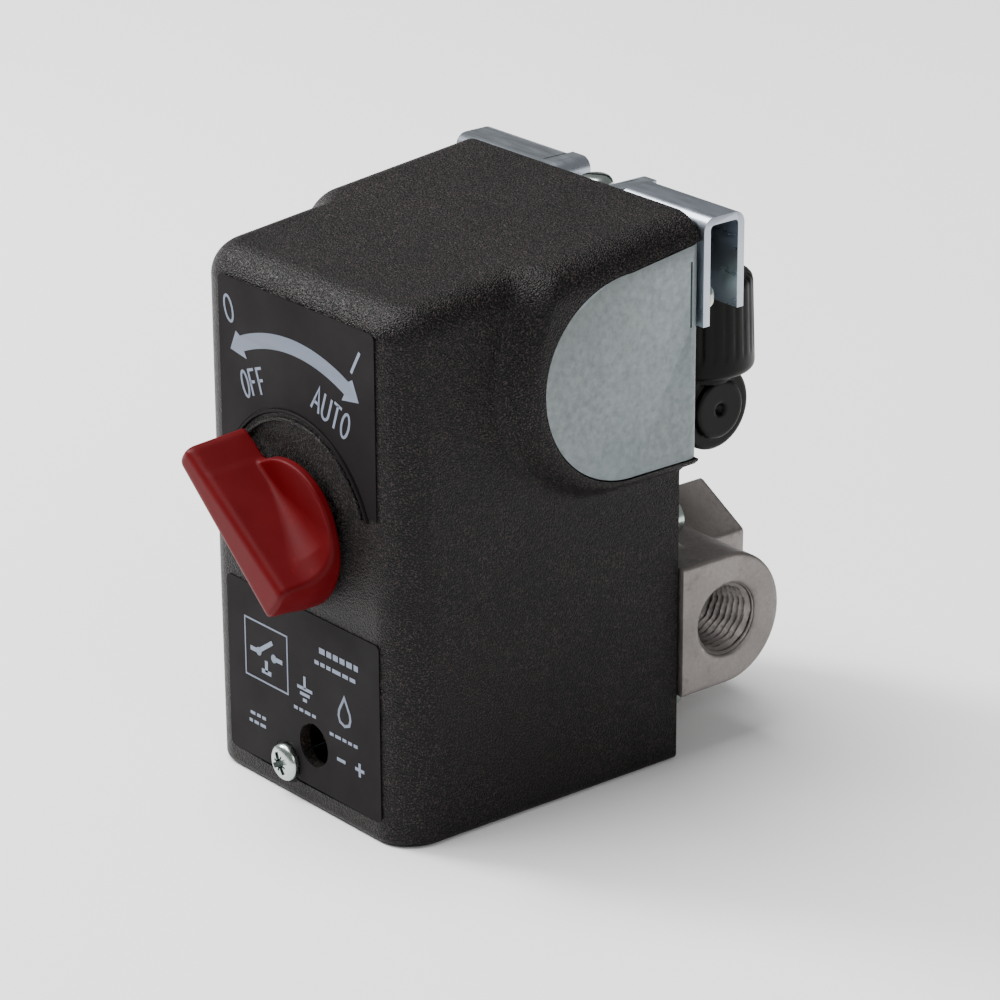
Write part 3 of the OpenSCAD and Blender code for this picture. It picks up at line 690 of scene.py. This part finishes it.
def ring_sector(r0, r1, a0, a1, steps=40):
    """Band round the dial centre; angles in degrees from upright, clockwise."""
    def at(r, a):
        return (r * math.sin(math.radians(a)), ARC_Z + r * math.cos(math.radians(a)))
    outer = [at(r1, a0 + (a1 - a0) * i / steps) for i in range(steps + 1)]
    inner = [at(r0, a1 + (a0 - a1) * i / steps) for i in range(steps + 1)]
    return outer, inner


outer, inner = ring_sector(34.9, 37.7, -24.2, 24.2)
barb = [(16.6, 84.8), (18.3, 81.1), (13.6, 80.4)]
arrow = outer + barb + inner + [(-x, z) for x, z in barb[::-1]]
flat_plate("print_arrow", [arrow], INK_FRONT, INK_BACK, "label_print")


def strokes(name, lines, width, origin=(0, 0), turn=0.0):
    """Drawn lines of even width, as flat ribbons with square ends, joined in one piece."""
    points, faces = [], []
    ca, sa = math.cos(math.radians(turn)), math.sin(math.radians(turn))
    for line in lines:
        path = [(x * ca - z * sa + origin[0], x * sa + z * ca + origin[1]) for x, z in line]
        closed = path[0] == path[-1] and len(path) > 2
        if closed:
            path = path[:-1]
        count = len(path)
        sides = []
        for i, (x, z) in enumerate(path):
            before = path[i - 1] if (i or closed) else None
            after = path[(i + 1) % count] if (i < count - 1 or closed) else None
            directions = []
            if before is not None:
                directions.append(Vector((x - before[0], z - before[1])).normalized())
            if after is not None:
                directions.append(Vector((after[0] - x, after[1] - z)).normalized())
            normals = [Vector((-d.y, d.x)) for d in directions]
            mean = sum(normals, Vector((0, 0))).normalized()
            reach = width / 2 / max(0.5, mean.dot(normals[0]))
            sides.append((mean * reach, (x, z)))
        base = len(points)
        for offset, (x, z) in sides:
            for sign in (1, -1):
                for level in (INK_FRONT, INK_BACK):
                    points.append([x + sign * offset.x, level, z + sign * offset.y])
        spans = count if closed else count - 1
        for i in range(spans):
            a, b = base + 4 * i, base + 4 * ((i + 1) % count)
            faces += [[a, b, b + 2, a + 2], [a + 1, a + 3, b + 3, b + 1],
                      [a, a + 1, b + 1, b], [a + 2, b + 2, b + 3, a + 3]]
        if not closed:
            for a in (base, base + 4 * (count - 1)):
                faces.append([a, a + 2, a + 3, a + 1])
    return piece(name, points, faces, "label_print", smooth=30)


def oval(cx, w, h, steps=28):
    turns = [2 * math.pi * i / steps for i in range(steps)]
    loop = [(cx + w / 2 * math.cos(t), h / 2 + h / 2 * math.sin(t)) for t in turns]
    return loop + [loop[0]]


LETTERS = {
    "O": lambda: [oval(0.5, 1, 1)],
    "F": lambda: [[(0.05, 0), (0.05, 1), (0.95, 1)], [(0.05, 0.53), (0.8, 0.53)]],
    "A": lambda: [[(-0.05, 0), (0.5, 1), (1.05, 0)], [(0.16, 0.34), (0.84, 0.34)]],
    "U": lambda: [[(0.02, 1), (0.02, 0.32)] + [(0.5 - 0.48 * math.cos(math.pi * i / 12),
                                                0.30 - 0.30 * math.sin(math.pi * i / 12)) for i in range(13)]
                  + [(0.98, 0.32), (0.98, 1)]],
    "T": lambda: [[(0.5, 0), (0.5, 1)], [(-0.05, 1), (1.05, 1)]],
}


def word(name, text, start, turn, width, height, pitch, weight):
    """A word on a straight base line that starts at start and is turned by turn degrees."""
    lines = []
    for i, letter in enumerate(text):
        for line in LETTERS[letter]():
            lines.append([((i * pitch + x * width), z * height) for x, z in line])
    strokes(name, lines, weight, start, turn)


word("print_off", "OFF", (-14.2, 73.2), 20, 1.75, 4.6, 2.5, 0.52)
word("print_auto", "AUTO", (4.9, 76.7), -19, 1.95, 4.7, 2.75, 0.52)
strokes("print_zero", [oval(0, 2.2, 4.7)], 0.5, (-17.9, 86.2), 17)
strokes("print_one", [[(0, 0), (0, 4.9)]], 0.6, (16.3, 86.0), -30)

# Plain symbols in place of all marks: an open switch contact in a frame, rules, and earth, drop,
# minus and plus signs.
strokes("print_frame", [[(-16.4, 19.9), (-16.4, 31.0), (-3.9, 31.0), (-3.9, 19.9), (-16.4, 19.9)]], 0.32)
strokes("print_contact", [[(-14.9, 25.4), (-12.6, 25.4)], [(-12.3, 25.6), (-8.3, 28.3)],
                          [(-7.8, 25.4), (-5.4, 25.4)], [(-10.2, 22.0), (-10.2, 24.2)],
                          [(-11.6, 22.0), (-8.8, 22.0)]], 0.85)
flat_plate("print_dot_a", [circle(-12.4, 25.4, 0.8, 32)], INK_FRONT - 0.01, INK_BACK, "label_print")
flat_plate("print_dot_b", [circle(-7.9, 25.4, 0.8, 32)], INK_FRONT - 0.01, INK_BACK, "label_print")


def rules(name, x0, z0, pattern, weight):
    """A row of short rules: pattern gives dash lengths, each followed by a gap of 0.5."""
    lines, x = [], x0
    for length in pattern:
        lines.append([(x, z0), (x + length, z0)])
        x += length + 0.5
    strokes(name, lines, weight)


rules("print_rule_a", 5.6, 31.6, [1.6, 1.4, 1.4, 1.4, 1.6, 1.2], 1.1)
rules("print_rule_b", 4.2, 29.0, [1.2, 1.2, 1.2, 2.4, 1.6, 1.6], 0.75)
strokes("print_earth", [[(0, 0), (0, 2.4)], [(-2.2, 0), (2.2, 0)], [(-1.4, -1.1), (1.4, -1.1)],
                        [(-0.6, -2.2), (0.6, -2.2)]], 0.62, (1.1, 22.6))
strokes("print_drop", [[(0, 3.4), (-1.5, 0.7), (-1.7, -0.4), (-1.3, -1.5), (0, -2.0), (1.3, -1.5),
                        (1.7, -0.4), (1.5, 0.7), (0, 3.4)]], 0.55, (12.6, 21.4))
rules("print_rule_c", -2.2, 18.2, [1.1, 1.1, 1.6, 1.1], 0.6)
rules("print_rule_d", 8.2, 16.6, [1.1, 1.6, 1.1, 1.1, 1.1], 0.6)
rules("print_rule_e", -15.4, 12.6, [1.4, 1.1, 1.1], 0.6)
rules("print_rule_f", -15.8, 11.0, [1.0, 1.3, 1.6], 0.6)
strokes("print_minus", [[(10.2, 12.4), (12.6, 12.4)]], 0.62)
strokes("print_plus", [[(15.4, 12.4), (18.0, 12.4)], [(16.7, 11.1), (16.7, 12.09)],
                       [(16.7, 12.71), (16.7, 13.7)]], 0.62)


# ---- knob ---------------------------------------------------------------------------------------

KNOB_REST = 52.0
BLADE_LONG = 20.7
KNOB_FRONT = -13.0


def knob_field(p):
    u, y, v = p
    disc = rod_field([u, y, v], 1, (0, 0), 13.5 + 0.12 * (y + 2.5), -2.7, -0.9, 0.4)
    half = 3.1 - 0.05 * (u - 3.0) + 0.14 * (y - KNOB_FRONT)
    blade = smooth_max(abs(v) - half, KNOB_FRONT - y, 1.6)
    blade = smooth_max(blade, u - BLADE_LONG, 1.8)
    heel = np.where(u < 0, np.hypot(u, v * 0.75), 0) - 13.4
    blade = smooth_max(smooth_max(blade, heel, 1.2), y + 0.9, 0.3)
    whole = smooth_min(disc, blade, 0.7 + 5.6 * np.clip((9.0 - u) / 17.0, 0, 1) ** 1.3)
    outline = smooth_min(np.hypot(u, v) - 13.6, np.maximum(abs(v) - half - 0.3, -u), 2.0)
    return smooth_max(smooth_max(whole, outline, 0.8), y + 0.9, 0.3)


points, faces = skin(knob_field, (-15.5, -14.5, -15.5), (21.5, 0.2, 15.5), 0.3)
turn = math.radians(KNOB_REST)
u, y, v = points[:, 0], points[:, 1], points[:, 2]
knob_points = np.stack([-u * math.sin(turn) + v * math.cos(turn), y,
                        KNOB_Z + u * math.cos(turn) + v * math.sin(turn)], 1)
piece("turn_knob", knob_points, faces, "knob_plastic", body="knob_group", replaces=["knob"], smooth=60)


# ---- screws -------------------------------------------------------------------------------------

def screw(name, at, axis, sign, head_r, head_h, slots, replaces, body="housing", shank=None):
    """A domed screw head on its seat, with a cross or a single slot. sign points out of the seat."""
    dome = []
    steps = 10
    for i in range(steps + 1):
        t = i / steps
        dome.append((sign * head_h * (0.35 + 0.65 * math.sin(t * math.pi / 2)),
                     max(0.05, head_r * math.cos(t * math.pi / 2) ** 0.55)))
    profile = [(-sign * shank[1], 0.6 * shank[0]), (-sign * (shank[1] - 0.6), shank[0]), (0, shank[0]),
               (0, head_r - 0.25), (sign * 0.12, head_r)] + dome
    points, faces = lathe(profile, at, axis, 48)
    obj = piece(name, points, faces, "screw_zinc", body=body, replaces=replaces, smooth=40)
    cutters = []
    for angle, width, length in slots:
        ca, sa = math.cos(math.radians(angle)), math.sin(math.radians(angle))
        outline = [(ca * a - sa * b, sa * a + ca * b) for a, b in
                   ((-length, -width), (length, -width), (length, width), (-length, width))]
        others = [i for i in range(3) if i != axis]
        outline = [(a + at[others[0]], b + at[others[1]]) for a, b in outline]
        low, high = sorted((at[axis] + sign * (head_h - 1.3), at[axis] + sign * (head_h + 1)))
        cutters.append(scratch(*prism(outline, low, high, axis)))
    carve(obj, cutters)
    finish_normals(obj, 40)
    return obj


screw("cover_screw_head", (SCREW_X, 0.0, SCREW_Z), 1, -1, 3.5, 2.0,
      [(28, 0.5, 2.15), (118, 0.5, 2.15), (73, 0.2, 1.6), (163, 0.2, 1.6)], ["cover_screw"], shank=(1.6, 26))
screw("clamp_screw_head", (0.0, 68.0, 101.0), 2, 1, 3.2, 2.6, [(35, 0.45, 5)], ["clamp_screw"],
      shank=(1.7, 13.5))
screw("ground_screw_head", (30.0, 65.9, 89.0), 1, 1, 2.9, 2.0, [(80, 0.42, 5)], ["ground_screw"],
      shank=(1.6, 3.9))


# ---- base frame ---------------------------------------------------------------------------------

def bent_solid(name, parts, slot, replaces, cuts, bevel):
    """Several closed prisms merged into one solid, cut and with broken edges."""
    obj = None
    for points, faces in parts:
        other = scratch(points, faces)
        if obj is None:
            obj = other
            continue
        modifier = obj.modifiers.new("join", "BOOLEAN")
        modifier.operation = "UNION"
        modifier.solver = "EXACT"
        modifier.object = other
        apply_modifiers(obj)
        bpy.data.objects.remove(other)
    carve(obj, [scratch(*cut) for cut in cuts])
    obj.name = name
    obj.data.name = name
    obj.data.materials.clear()
    obj.data.materials.append(LOOKS[slot])
    bevel_edges(obj, bevel)
    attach(obj, "housing")
    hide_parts(*replaces)
    return obj


def block(low, high):
    outline = [(low[0], low[1]), (high[0], low[1]), (high[0], high[1]), (low[0], high[1])]
    return prism(outline, low[2], high[2], 2)


def hole(centre, radius, axis, low, high, steps=40):
    return lathe([(low, radius), (high, radius)], centre, axis, steps)


CHEEK_OUT, SHEET = 33.8, 1.5
plate_outline = [(-26.4, 2.8), (26.4, 2.8), (26.4, 58.5), (CHEEK_OUT - 2.2, 60.6), (CHEEK_OUT - 2.2, 99.0),
                 (-CHEEK_OUT + 2.2, 99.0), (-CHEEK_OUT + 2.2, 60.6), (-26.4, 58.5)]
frame_parts = [prism([(x, z) for x, z in plate_outline], FRAME_FRONT, FRAME_BACK, 1),
               block((-5, FRAME_FRONT + 0.2, 92), (5, 71.5, 93.5))]


def cheek(side):
    """One cheek with its bend into the base plate, as a bent strip, still to be cut to the round outline."""
    r_out, r_in = 2.4, 0.9
    x1, y1 = CHEEK_OUT, FRAME_BACK
    profile = [(x1 - 4.5, y1 - SHEET)] + arc(x1 - SHEET - r_in, y1 - SHEET - r_in, r_in, 90, 0, 6)
    profile += [(x1 - SHEET, 26.0), (x1, 26.0)] + arc(x1 - r_out, y1 - r_out, r_out, 0, 90, 6)
    profile += [(x1 - 4.5, y1)]
    points, faces = prism([(side * x, y) for x, y in profile], 55, 104, 2)
    return scratch(points, faces)


def make_frame():
    cheeks = []
    for side in (-1, 1):
        obj = cheek(side)
        outline = dee_outline(0, FRAME_BACK + 2)
        low, high = sorted((side * 25, side * 40))
        keep = scratch(*prism(outline, low, high, 0))
        modifier = obj.modifiers.new("keep", "BOOLEAN")
        modifier.operation = "INTERSECT"
        modifier.solver = "EXACT"
        modifier.object = keep
        apply_modifiers(obj)
        bpy.data.objects.remove(keep)
        mesh = obj.data
        co = np.array([v.co for v in mesh.vertices], float)
        co[:, 1] -= FRONT_Y
        cheeks.append((co / MM, [list(p.vertices) for p in mesh.polygons]))
        bpy.data.objects.remove(obj)
    cuts = [hole((0, 0, PORT_Z), 9.8, 1, 60, 66, 64), hole((-5.5, 0, 60.3), 3.2, 1, 60, 66),
            hole((ACCESS_X, 0, ACCESS_Z), 2.6, 1, 60, 66), hole((0, 68.0, 0), 1.85, 2, 90, 96)]
    for side in (-1, 1):
        low, high = sorted((side * 12, side * 26))
        cuts.append(block((low, 60, 88), (high, 66, 98)))
        cuts.append(block((min(side * 31, side * 36), 60.7, 85), (max(side * 31, side * 36), 61.15, 97)))
        cuts.append(block((min(side * 31, side * 36), 62.9, 68), (max(side * 31, side * 36), 64, 71)))
        cuts.append(hole((-17 if side < 0 else 8, 0, 60.3), 1.6, 1, 60, 66))
        for level in (-1, 1):
            cuts.append(hole((17 * side, 0, PORT_Z + 17 * level), 2.1, 1, 60, 66))
    cuts.append(hole((30, 0, 89), 1.65, 1, 60, 66))
    bent_solid("steel_frame", frame_parts + cheeks, "frame_zinc", ["base_frame"], cuts, 0.14)


make_frame()


# ---- cable clamps -------------------------------------------------------------------------------

CLAMP_BACK, CLAMP_TOP, CLAMP_OUT, CLAMP_IN = 72.8, 104.3, 34.2, 6.5


def bent_strip(path, radius, thickness, steps=6):
    """Outline of a strip of even thickness along a path with rounded corners. radius is the inner bend."""
    centre = [path[0]]
    for i in range(1, len(path) - 1):
        p, a, b = (Vector(path[i]), Vector(path[i - 1]), Vector(path[i + 1]))
        before, after = (a - p).normalized(), (b - p).normalized()
        bend = radius + thickness / 2
        half = before.angle(after) / 2
        back = bend / math.tan(half)
        middle = p + (before + after).normalized() * (bend / math.sin(half))
        start, end = p + before * back - middle, p + after * back - middle
        turn = start.angle_signed(end)
        for k in range(steps + 1):
            angle = -turn * k / steps
            ca, sa = math.cos(angle), math.sin(angle)
            centre.append((middle.x + start.x * ca - start.y * sa, middle.y + start.x * sa + start.y * ca))
    centre.append(path[-1])
    left, right = [], []
    for i, point in enumerate(centre):
        a, b = Vector(centre[max(0, i - 1)]), Vector(centre[min(len(centre) - 1, i + 1)])
        along = (b - a).normalized()
        normal = Vector((-along.y, along.x)) * thickness / 2
        left.append((point[0] + normal.x, point[1] + normal.y))
        right.append((point[0] - normal.x, point[1] - normal.y))
    return left + right[::-1]


def make_clamp(side, lap):
    h = SHEET / 2
    loop = bent_strip([(FRAME_BACK + h, 84.5), (FRAME_BACK + h, CLAMP_TOP - h),
                       (CLAMP_BACK - h, CLAMP_TOP - h), (CLAMP_BACK - h, 86.5)], 0.8, SHEET)
    low, high = sorted((side * (CLAMP_IN + 2.4), side * CLAMP_OUT))
    parts = [prism(loop, low, high, 0)]
    strap = bent_strip([(side * (CLAMP_IN + 5), CLAMP_TOP - h), (side * (CLAMP_IN + h), CLAMP_TOP - h),
                        (side * (CLAMP_IN + h), 98 + lap + h), (side * -4.0, 98 + lap + h)], 0.6, SHEET)
    parts.append(prism(strap, FRAME_BACK + 0.05, CLAMP_BACK - 0.4, 1))
    cuts = [hole((0, 68.0, 0), 1.85, 2, 97, 102.5)]
    low, high = sorted((side * 12, side * 26))
    cuts.append(block((low, FRAME_BACK - 1, 88), (high, FRAME_BACK + 2.2, 98)))
    if side > 0:
        cuts.append(hole((30, 0, 89), 1.65, 1, 62, 66))
    name, node = ("clamp_right", "cable_clamp_right") if side > 0 else ("clamp_left", "cable_clamp_left")
    bent_solid(name, parts, "clamp_zinc", [node], cuts, 0.16)


make_clamp(1, 0)
make_clamp(-1, SHEET)


# ---- flange casting -----------------------------------------------------------------------------

HEX_HALF = 11.8            # half the distance across the hexagon's flats
MOUTH_R = 6.9


def casting_field(p):
    x, y, z = p
    front = FRAME_BACK + 1.5
    plate = box_field(p, (-22, front, PORT_Z - 22), (22, front + 4.6, PORT_Z + 22), 1.0)
    corner = np.hypot(np.maximum(abs(x) - 16, 0), np.maximum(abs(z - PORT_Z) - 16, 0)) - 6
    plate = smooth_max(plate, corner, 0.6)
    waist = rod_field(p, 1, (0, PORT_Z), 13.0, front, 83.5, 0.8)
    dee = np.where(y > PORT_Y, np.hypot(y - PORT_Y, z - PORT_Z), abs(z - PORT_Z)) - 12.6
    arm_front = np.where(abs(x) > 26.9, FRAME_BACK - 0.15, front)
    arms = smooth_max(smooth_max(dee, abs(x) - 30.0, 0.7), arm_front - y, 0.3)
    slanted = abs(x) * 0.5 + abs(z - PORT_Z) * math.sqrt(3) / 2
    hexagon = smooth_max(smooth_max(abs(x) - HEX_HALF, slanted - HEX_HALF, 0.5), abs(y - 80) - 15.0, 0.7)
    low = rod_field(p, 2, (0, PORT_Y), 10.5, 3.5, PORT_Z, 0.8)
    body = smooth_min(smooth_min(plate, waist, 1.6), arms, 2.2)
    body = smooth_min(smooth_min(body, low, 2.0), hexagon, 1.0)
    bores = np.minimum(rod_field(p, 0, (PORT_Y, PORT_Z), 3.5, -40, 40),
                       rod_field(p, 1, (0, PORT_Z), 4.2, 60, 110))
    bores = np.minimum(bores, rod_field(p, 2, (0, PORT_Y), 3.5, -5, PORT_Z))
    mouths = np.minimum(rod_field(p, 0, (PORT_Y, PORT_Z), MOUTH_R, 17.2, 40),
                        rod_field(p, 0, (PORT_Y, PORT_Z), MOUTH_R, -40, -17.2))
    mouths = np.minimum(mouths, rod_field(p, 1, (0, PORT_Z), MOUTH_R, 82.2, 110))
    mouths = np.minimum(mouths, rod_field(p, 2, (0, PORT_Y), MOUTH_R, -5, 14.3))
    side_cone = np.hypot(y - PORT_Y, z - PORT_Z) - 6.5 - (abs(x) - 29.2)
    rear_cone = np.hypot(x, z - PORT_Z) - 6.5 - (y - 94.2)
    side_cone = np.where(abs(x) > 28, side_cone * 0.707, 9.0)
    rear_cone = np.where(y > 93, rear_cone * 0.707, 9.0)
    holes = np.minimum(np.minimum(bores, mouths), np.minimum(side_cone, rear_cone))
    for side in (-1, 1):
        for level in (-1, 1):
            holes = np.minimum(holes, rod_field(p, 1, (17 * side, PORT_Z + 17 * level), 2.05, 60, 75))
    return smooth_max(body, -holes, 0.25)


points, faces = skin(casting_field, (-32, 61.9, 2.1), (32, 97, 48.5), 0.45)
piece("cast_flange", points, faces, "cast_alloy", replaces=["flange_casting"], smooth=55)


PITCH = 1.41               # 18 threads to the inch
SLEEVE_R = 7.05


def thread(name, centre, axis, low, high, sign):
    """A threaded sleeve that lines a port: helical grooves inside, plain outside."""
    steps, per_turn = 72, 10
    rows = int((high - low) / PITCH * per_turn)
    inner, outer = [], []
    for row in range(rows + 1):
        along = low + (high - low) * row / rows
        depth = (along - low) if sign < 0 else (high - along)
        for k in range(steps):
            phase = (depth / PITCH + k / steps) % 1.0
            tooth = abs(2 * phase - 1)
            fade = min(1.0, depth / 0.9)
            radius = 6.85 - 0.95 * tooth * fade - 0.03 * depth
            inner.append(around(centre, axis, along, radius, k, steps))
    for along in (low, high):
        outer += [around(centre, axis, along, SLEEVE_R, k, steps) for k in range(steps)]
    points = inner + outer
    base = len(inner)
    faces = []
    for row in range(rows):
        for k in range(steps):
            n = (k + 1) % steps
            faces.append([row * steps + k, (row + 1) * steps + k, (row + 1) * steps + n, row * steps + n])
    for k in range(steps):
        n = (k + 1) % steps
        faces.append([base + k, base + n, base + steps + n, base + steps + k])
        faces.append([k, n, base + n, base + k])
        last = rows * steps
        faces.append([last + k, base + steps + k, base + steps + n, last + n])
    piece(name, points, faces, "cast_alloy", smooth=70)


thread("thread_right", (0, PORT_Y, PORT_Z), 0, 17.3, 29.4, 1)
thread("thread_left", (0, PORT_Y, PORT_Z), 0, -29.4, -17.3, -1)
thread("thread_rear", (0, 0, PORT_Z), 1, 82.3, 94.4, 1)
thread("thread_low", (0, PORT_Y, 0), 2, 3.8, 14.2, -1)


# ---- unloader valve -----------------------------------------------------------------------------

AXIS_Y, AXIS_Z, STEM_X = 82.5, 60.3, 12.0


def valve_field(p):
    body = box_field(p, (-12, FRAME_BACK, 51.5), (1, 89.5, 69.5), 1.2)
    ears = box_field(p, (-21, FRAME_BACK, 56), (12, FRAME_BACK + 2.5, 65.4), 0.7)
    rim = rod_field(p, 0, (AXIS_Y, AXIS_Z), 8.2, -12.0, 0.9, 0.5)
    body = smooth_min(smooth_min(body, ears, 1.5), rim, 1.0)
    return smooth_max(body, -rod_field(p, 0, (AXIS_Y, AXIS_Z), 4.1, -9, 3), 0.3)


points, faces = skin(valve_field, (-22.5, 62, 49.5), (13.5, 92, 71.5), 0.45)
piece("valve_body", points, faces, "valve_plastic", replaces=["unloader_body"], smooth=55)


def elbow_field(p):
    x, y, z = p
    spigot = rod_field(p, 0, (AXIS_Y, AXIS_Z), 4.0, -8, 4)
    barrel = rod_field(p, 0, (AXIS_Y, AXIS_Z), 8.2, 1.25, 16.9, 1.0)
    cap = rod_field(p, 0, (AXIS_Y, AXIS_Z), 5.6, 10, 18.2, 0.7)
    stem = rod_field(p, 2, (STEM_X, AXIS_Y), 5.0, AXIS_Z, 76.2, 0.3)
    body = smooth_min(barrel, stem, 1.8)
    body = np.minimum(smooth_min(body, spigot, 0.3), smooth_min(cap, barrel + 0.4, 0.3))
    dimple = np.sqrt((x - 18.4) ** 2 + (y - AXIS_Y) ** 2 + (z - AXIS_Z) ** 2) - 1.2
    bore = rod_field(p, 2, (STEM_X, AXIS_Y), 3.2, 70.7, 80)
    return smooth_max(body, -np.minimum(dimple, bore), 0.3)


points, faces = skin(elbow_field, (-9.2, 73.6, 51.4), (19.4, 91.4, 77.4), 0.4)
piece("valve_elbow", points, faces, "valve_plastic", body="elbow_group", replaces=["unloader_elbow"],
      smooth=55)


def nut_field(p):
    x, y, z = p
    radial = np.hypot(x - STEM_X, y - AXIS_Y)
    turn = np.arctan2(y - AXIS_Y, x - STEM_X)
    flutes = 0.16 * np.clip(np.cos(turn * 28), 0, 1) * np.clip((z - 70.5) / 1.5, 0, 1)
    radius = 10.35 - 0.035 * (z - 67) - flutes
    shell = smooth_max(radial - radius, abs(z - 76.3) - 9.0, 1.6)
    waist = smooth_max(radial - 6.4, abs(z - 66.7) - 1.5, 0.4)
    shell = smooth_min(shell, waist, 0.4)
    bore = np.where(z < 79.3, radial - 5.05, radial - 3.2)
    mouth = (radial - 3.2 - (z - 84.7)) * 0.707
    mouth = np.where(z > 83.5, mouth, 9.0)
    return smooth_max(shell, -np.minimum(bore, mouth), 0.25)


points, faces = skin(nut_field, (0.8, 71.3, 64.4), (23.2, 93.7, 86.2), 0.4)
piece("valve_nut", points, faces, "valve_plastic", body="elbow_group", replaces=["tube_nut"], smooth=55)


# ---- floor, light and camera --------------------------------------------------------------------

def floor_material():
    mat, tree, shader = new_material("pale_floor", (0.93, 0.93, 0.93), 0.75, specular=0.2)
    cloud = noise(tree, object_coords(tree), 3, 2.0)
    tree.links.new(ramp(tree, cloud, [(0.3, (0.92, 0.92, 0.92)), (0.7, (0.95, 0.95, 0.95))]),
                   shader.inputs["Base Color"])
    return mat


mesh = bpy.data.meshes.new("floor")
mesh.from_pydata([(-6, -6, 0), (6, -6, 0), (6, 6, 0), (-6, 6, 0)], [], [(0, 1, 2, 3)])
mesh.materials.append(floor_material())
floor = bpy.data.objects.new("floor", mesh)
bpy.context.scene.collection.objects.link(floor)

world = bpy.data.worlds.new("studio")
bpy.context.scene.world = world
world.use_nodes = True
world.node_tree.nodes["Background"].inputs["Color"].default_value = (1, 1, 1, 1)
world.node_tree.nodes["Background"].inputs["Strength"].default_value = 0.30


def softbox(name, at, target, width, height, power, color=(1, 1, 1)):
    light = bpy.data.lights.new(name, "AREA")
    light.shape = "RECTANGLE"
    light.size = width
    light.size_y = height
    light.energy = power
    light.color = color
    obj = bpy.data.objects.new(name, light)
    obj.location = at
    obj.rotation_euler = (Vector(target) - Vector(at)).to_track_quat("-Z", "Y").to_euler()
    bpy.context.scene.collection.objects.link(obj)


sun = bpy.data.lights.new("sky", "SUN")
sun.energy = 4.7
sun.angle = math.radians(45)
sky = bpy.data.objects.new("sky", sun)
sky.rotation_euler = Vector((0.28, 0.18, -1.0)).to_track_quat("-Z", "Y").to_euler()
bpy.context.scene.collection.objects.link(sky)

middle = (0, 0, 0.05)
softbox("key", (-0.62, -0.34, 0.55), middle, 0.22, 0.22, 9)
softbox("side", (0.75, -0.20, 0.50), middle, 0.30, 0.30, 1.6)

camera_data = bpy.data.cameras.new("camera")
camera = bpy.data.objects.new("camera", camera_data)
bpy.context.scene.collection.objects.link(camera)
azimuth, elevation, roll = math.radians(50.66), math.radians(21.507), math.radians(-0.278)
back = Vector((math.sin(azimuth) * math.cos(elevation), -math.cos(azimuth) * math.cos(elevation),
               math.sin(elevation)))
right = (-back).cross(Vector((0, 0, 1))).normalized()
up = right.cross(-back)
turned = right * math.cos(roll) + up * math.sin(roll)
upright = up * math.cos(roll) - right * math.sin(roll)
matrix = camera.matrix_world.to_3x3()
for column, vector in enumerate((turned, upright, back)):
    matrix.col[column] = vector
camera.matrix_world = matrix.to_4x4()
camera.location = (0.54403, -0.40046 + FRONT_Y, 0.32374)
camera_data.sensor_width = 36
camera_data.lens = 150.45
camera_data.clip_start = 0.01
camera_data.clip_end = 20
bpy.context.scene.camera = camera
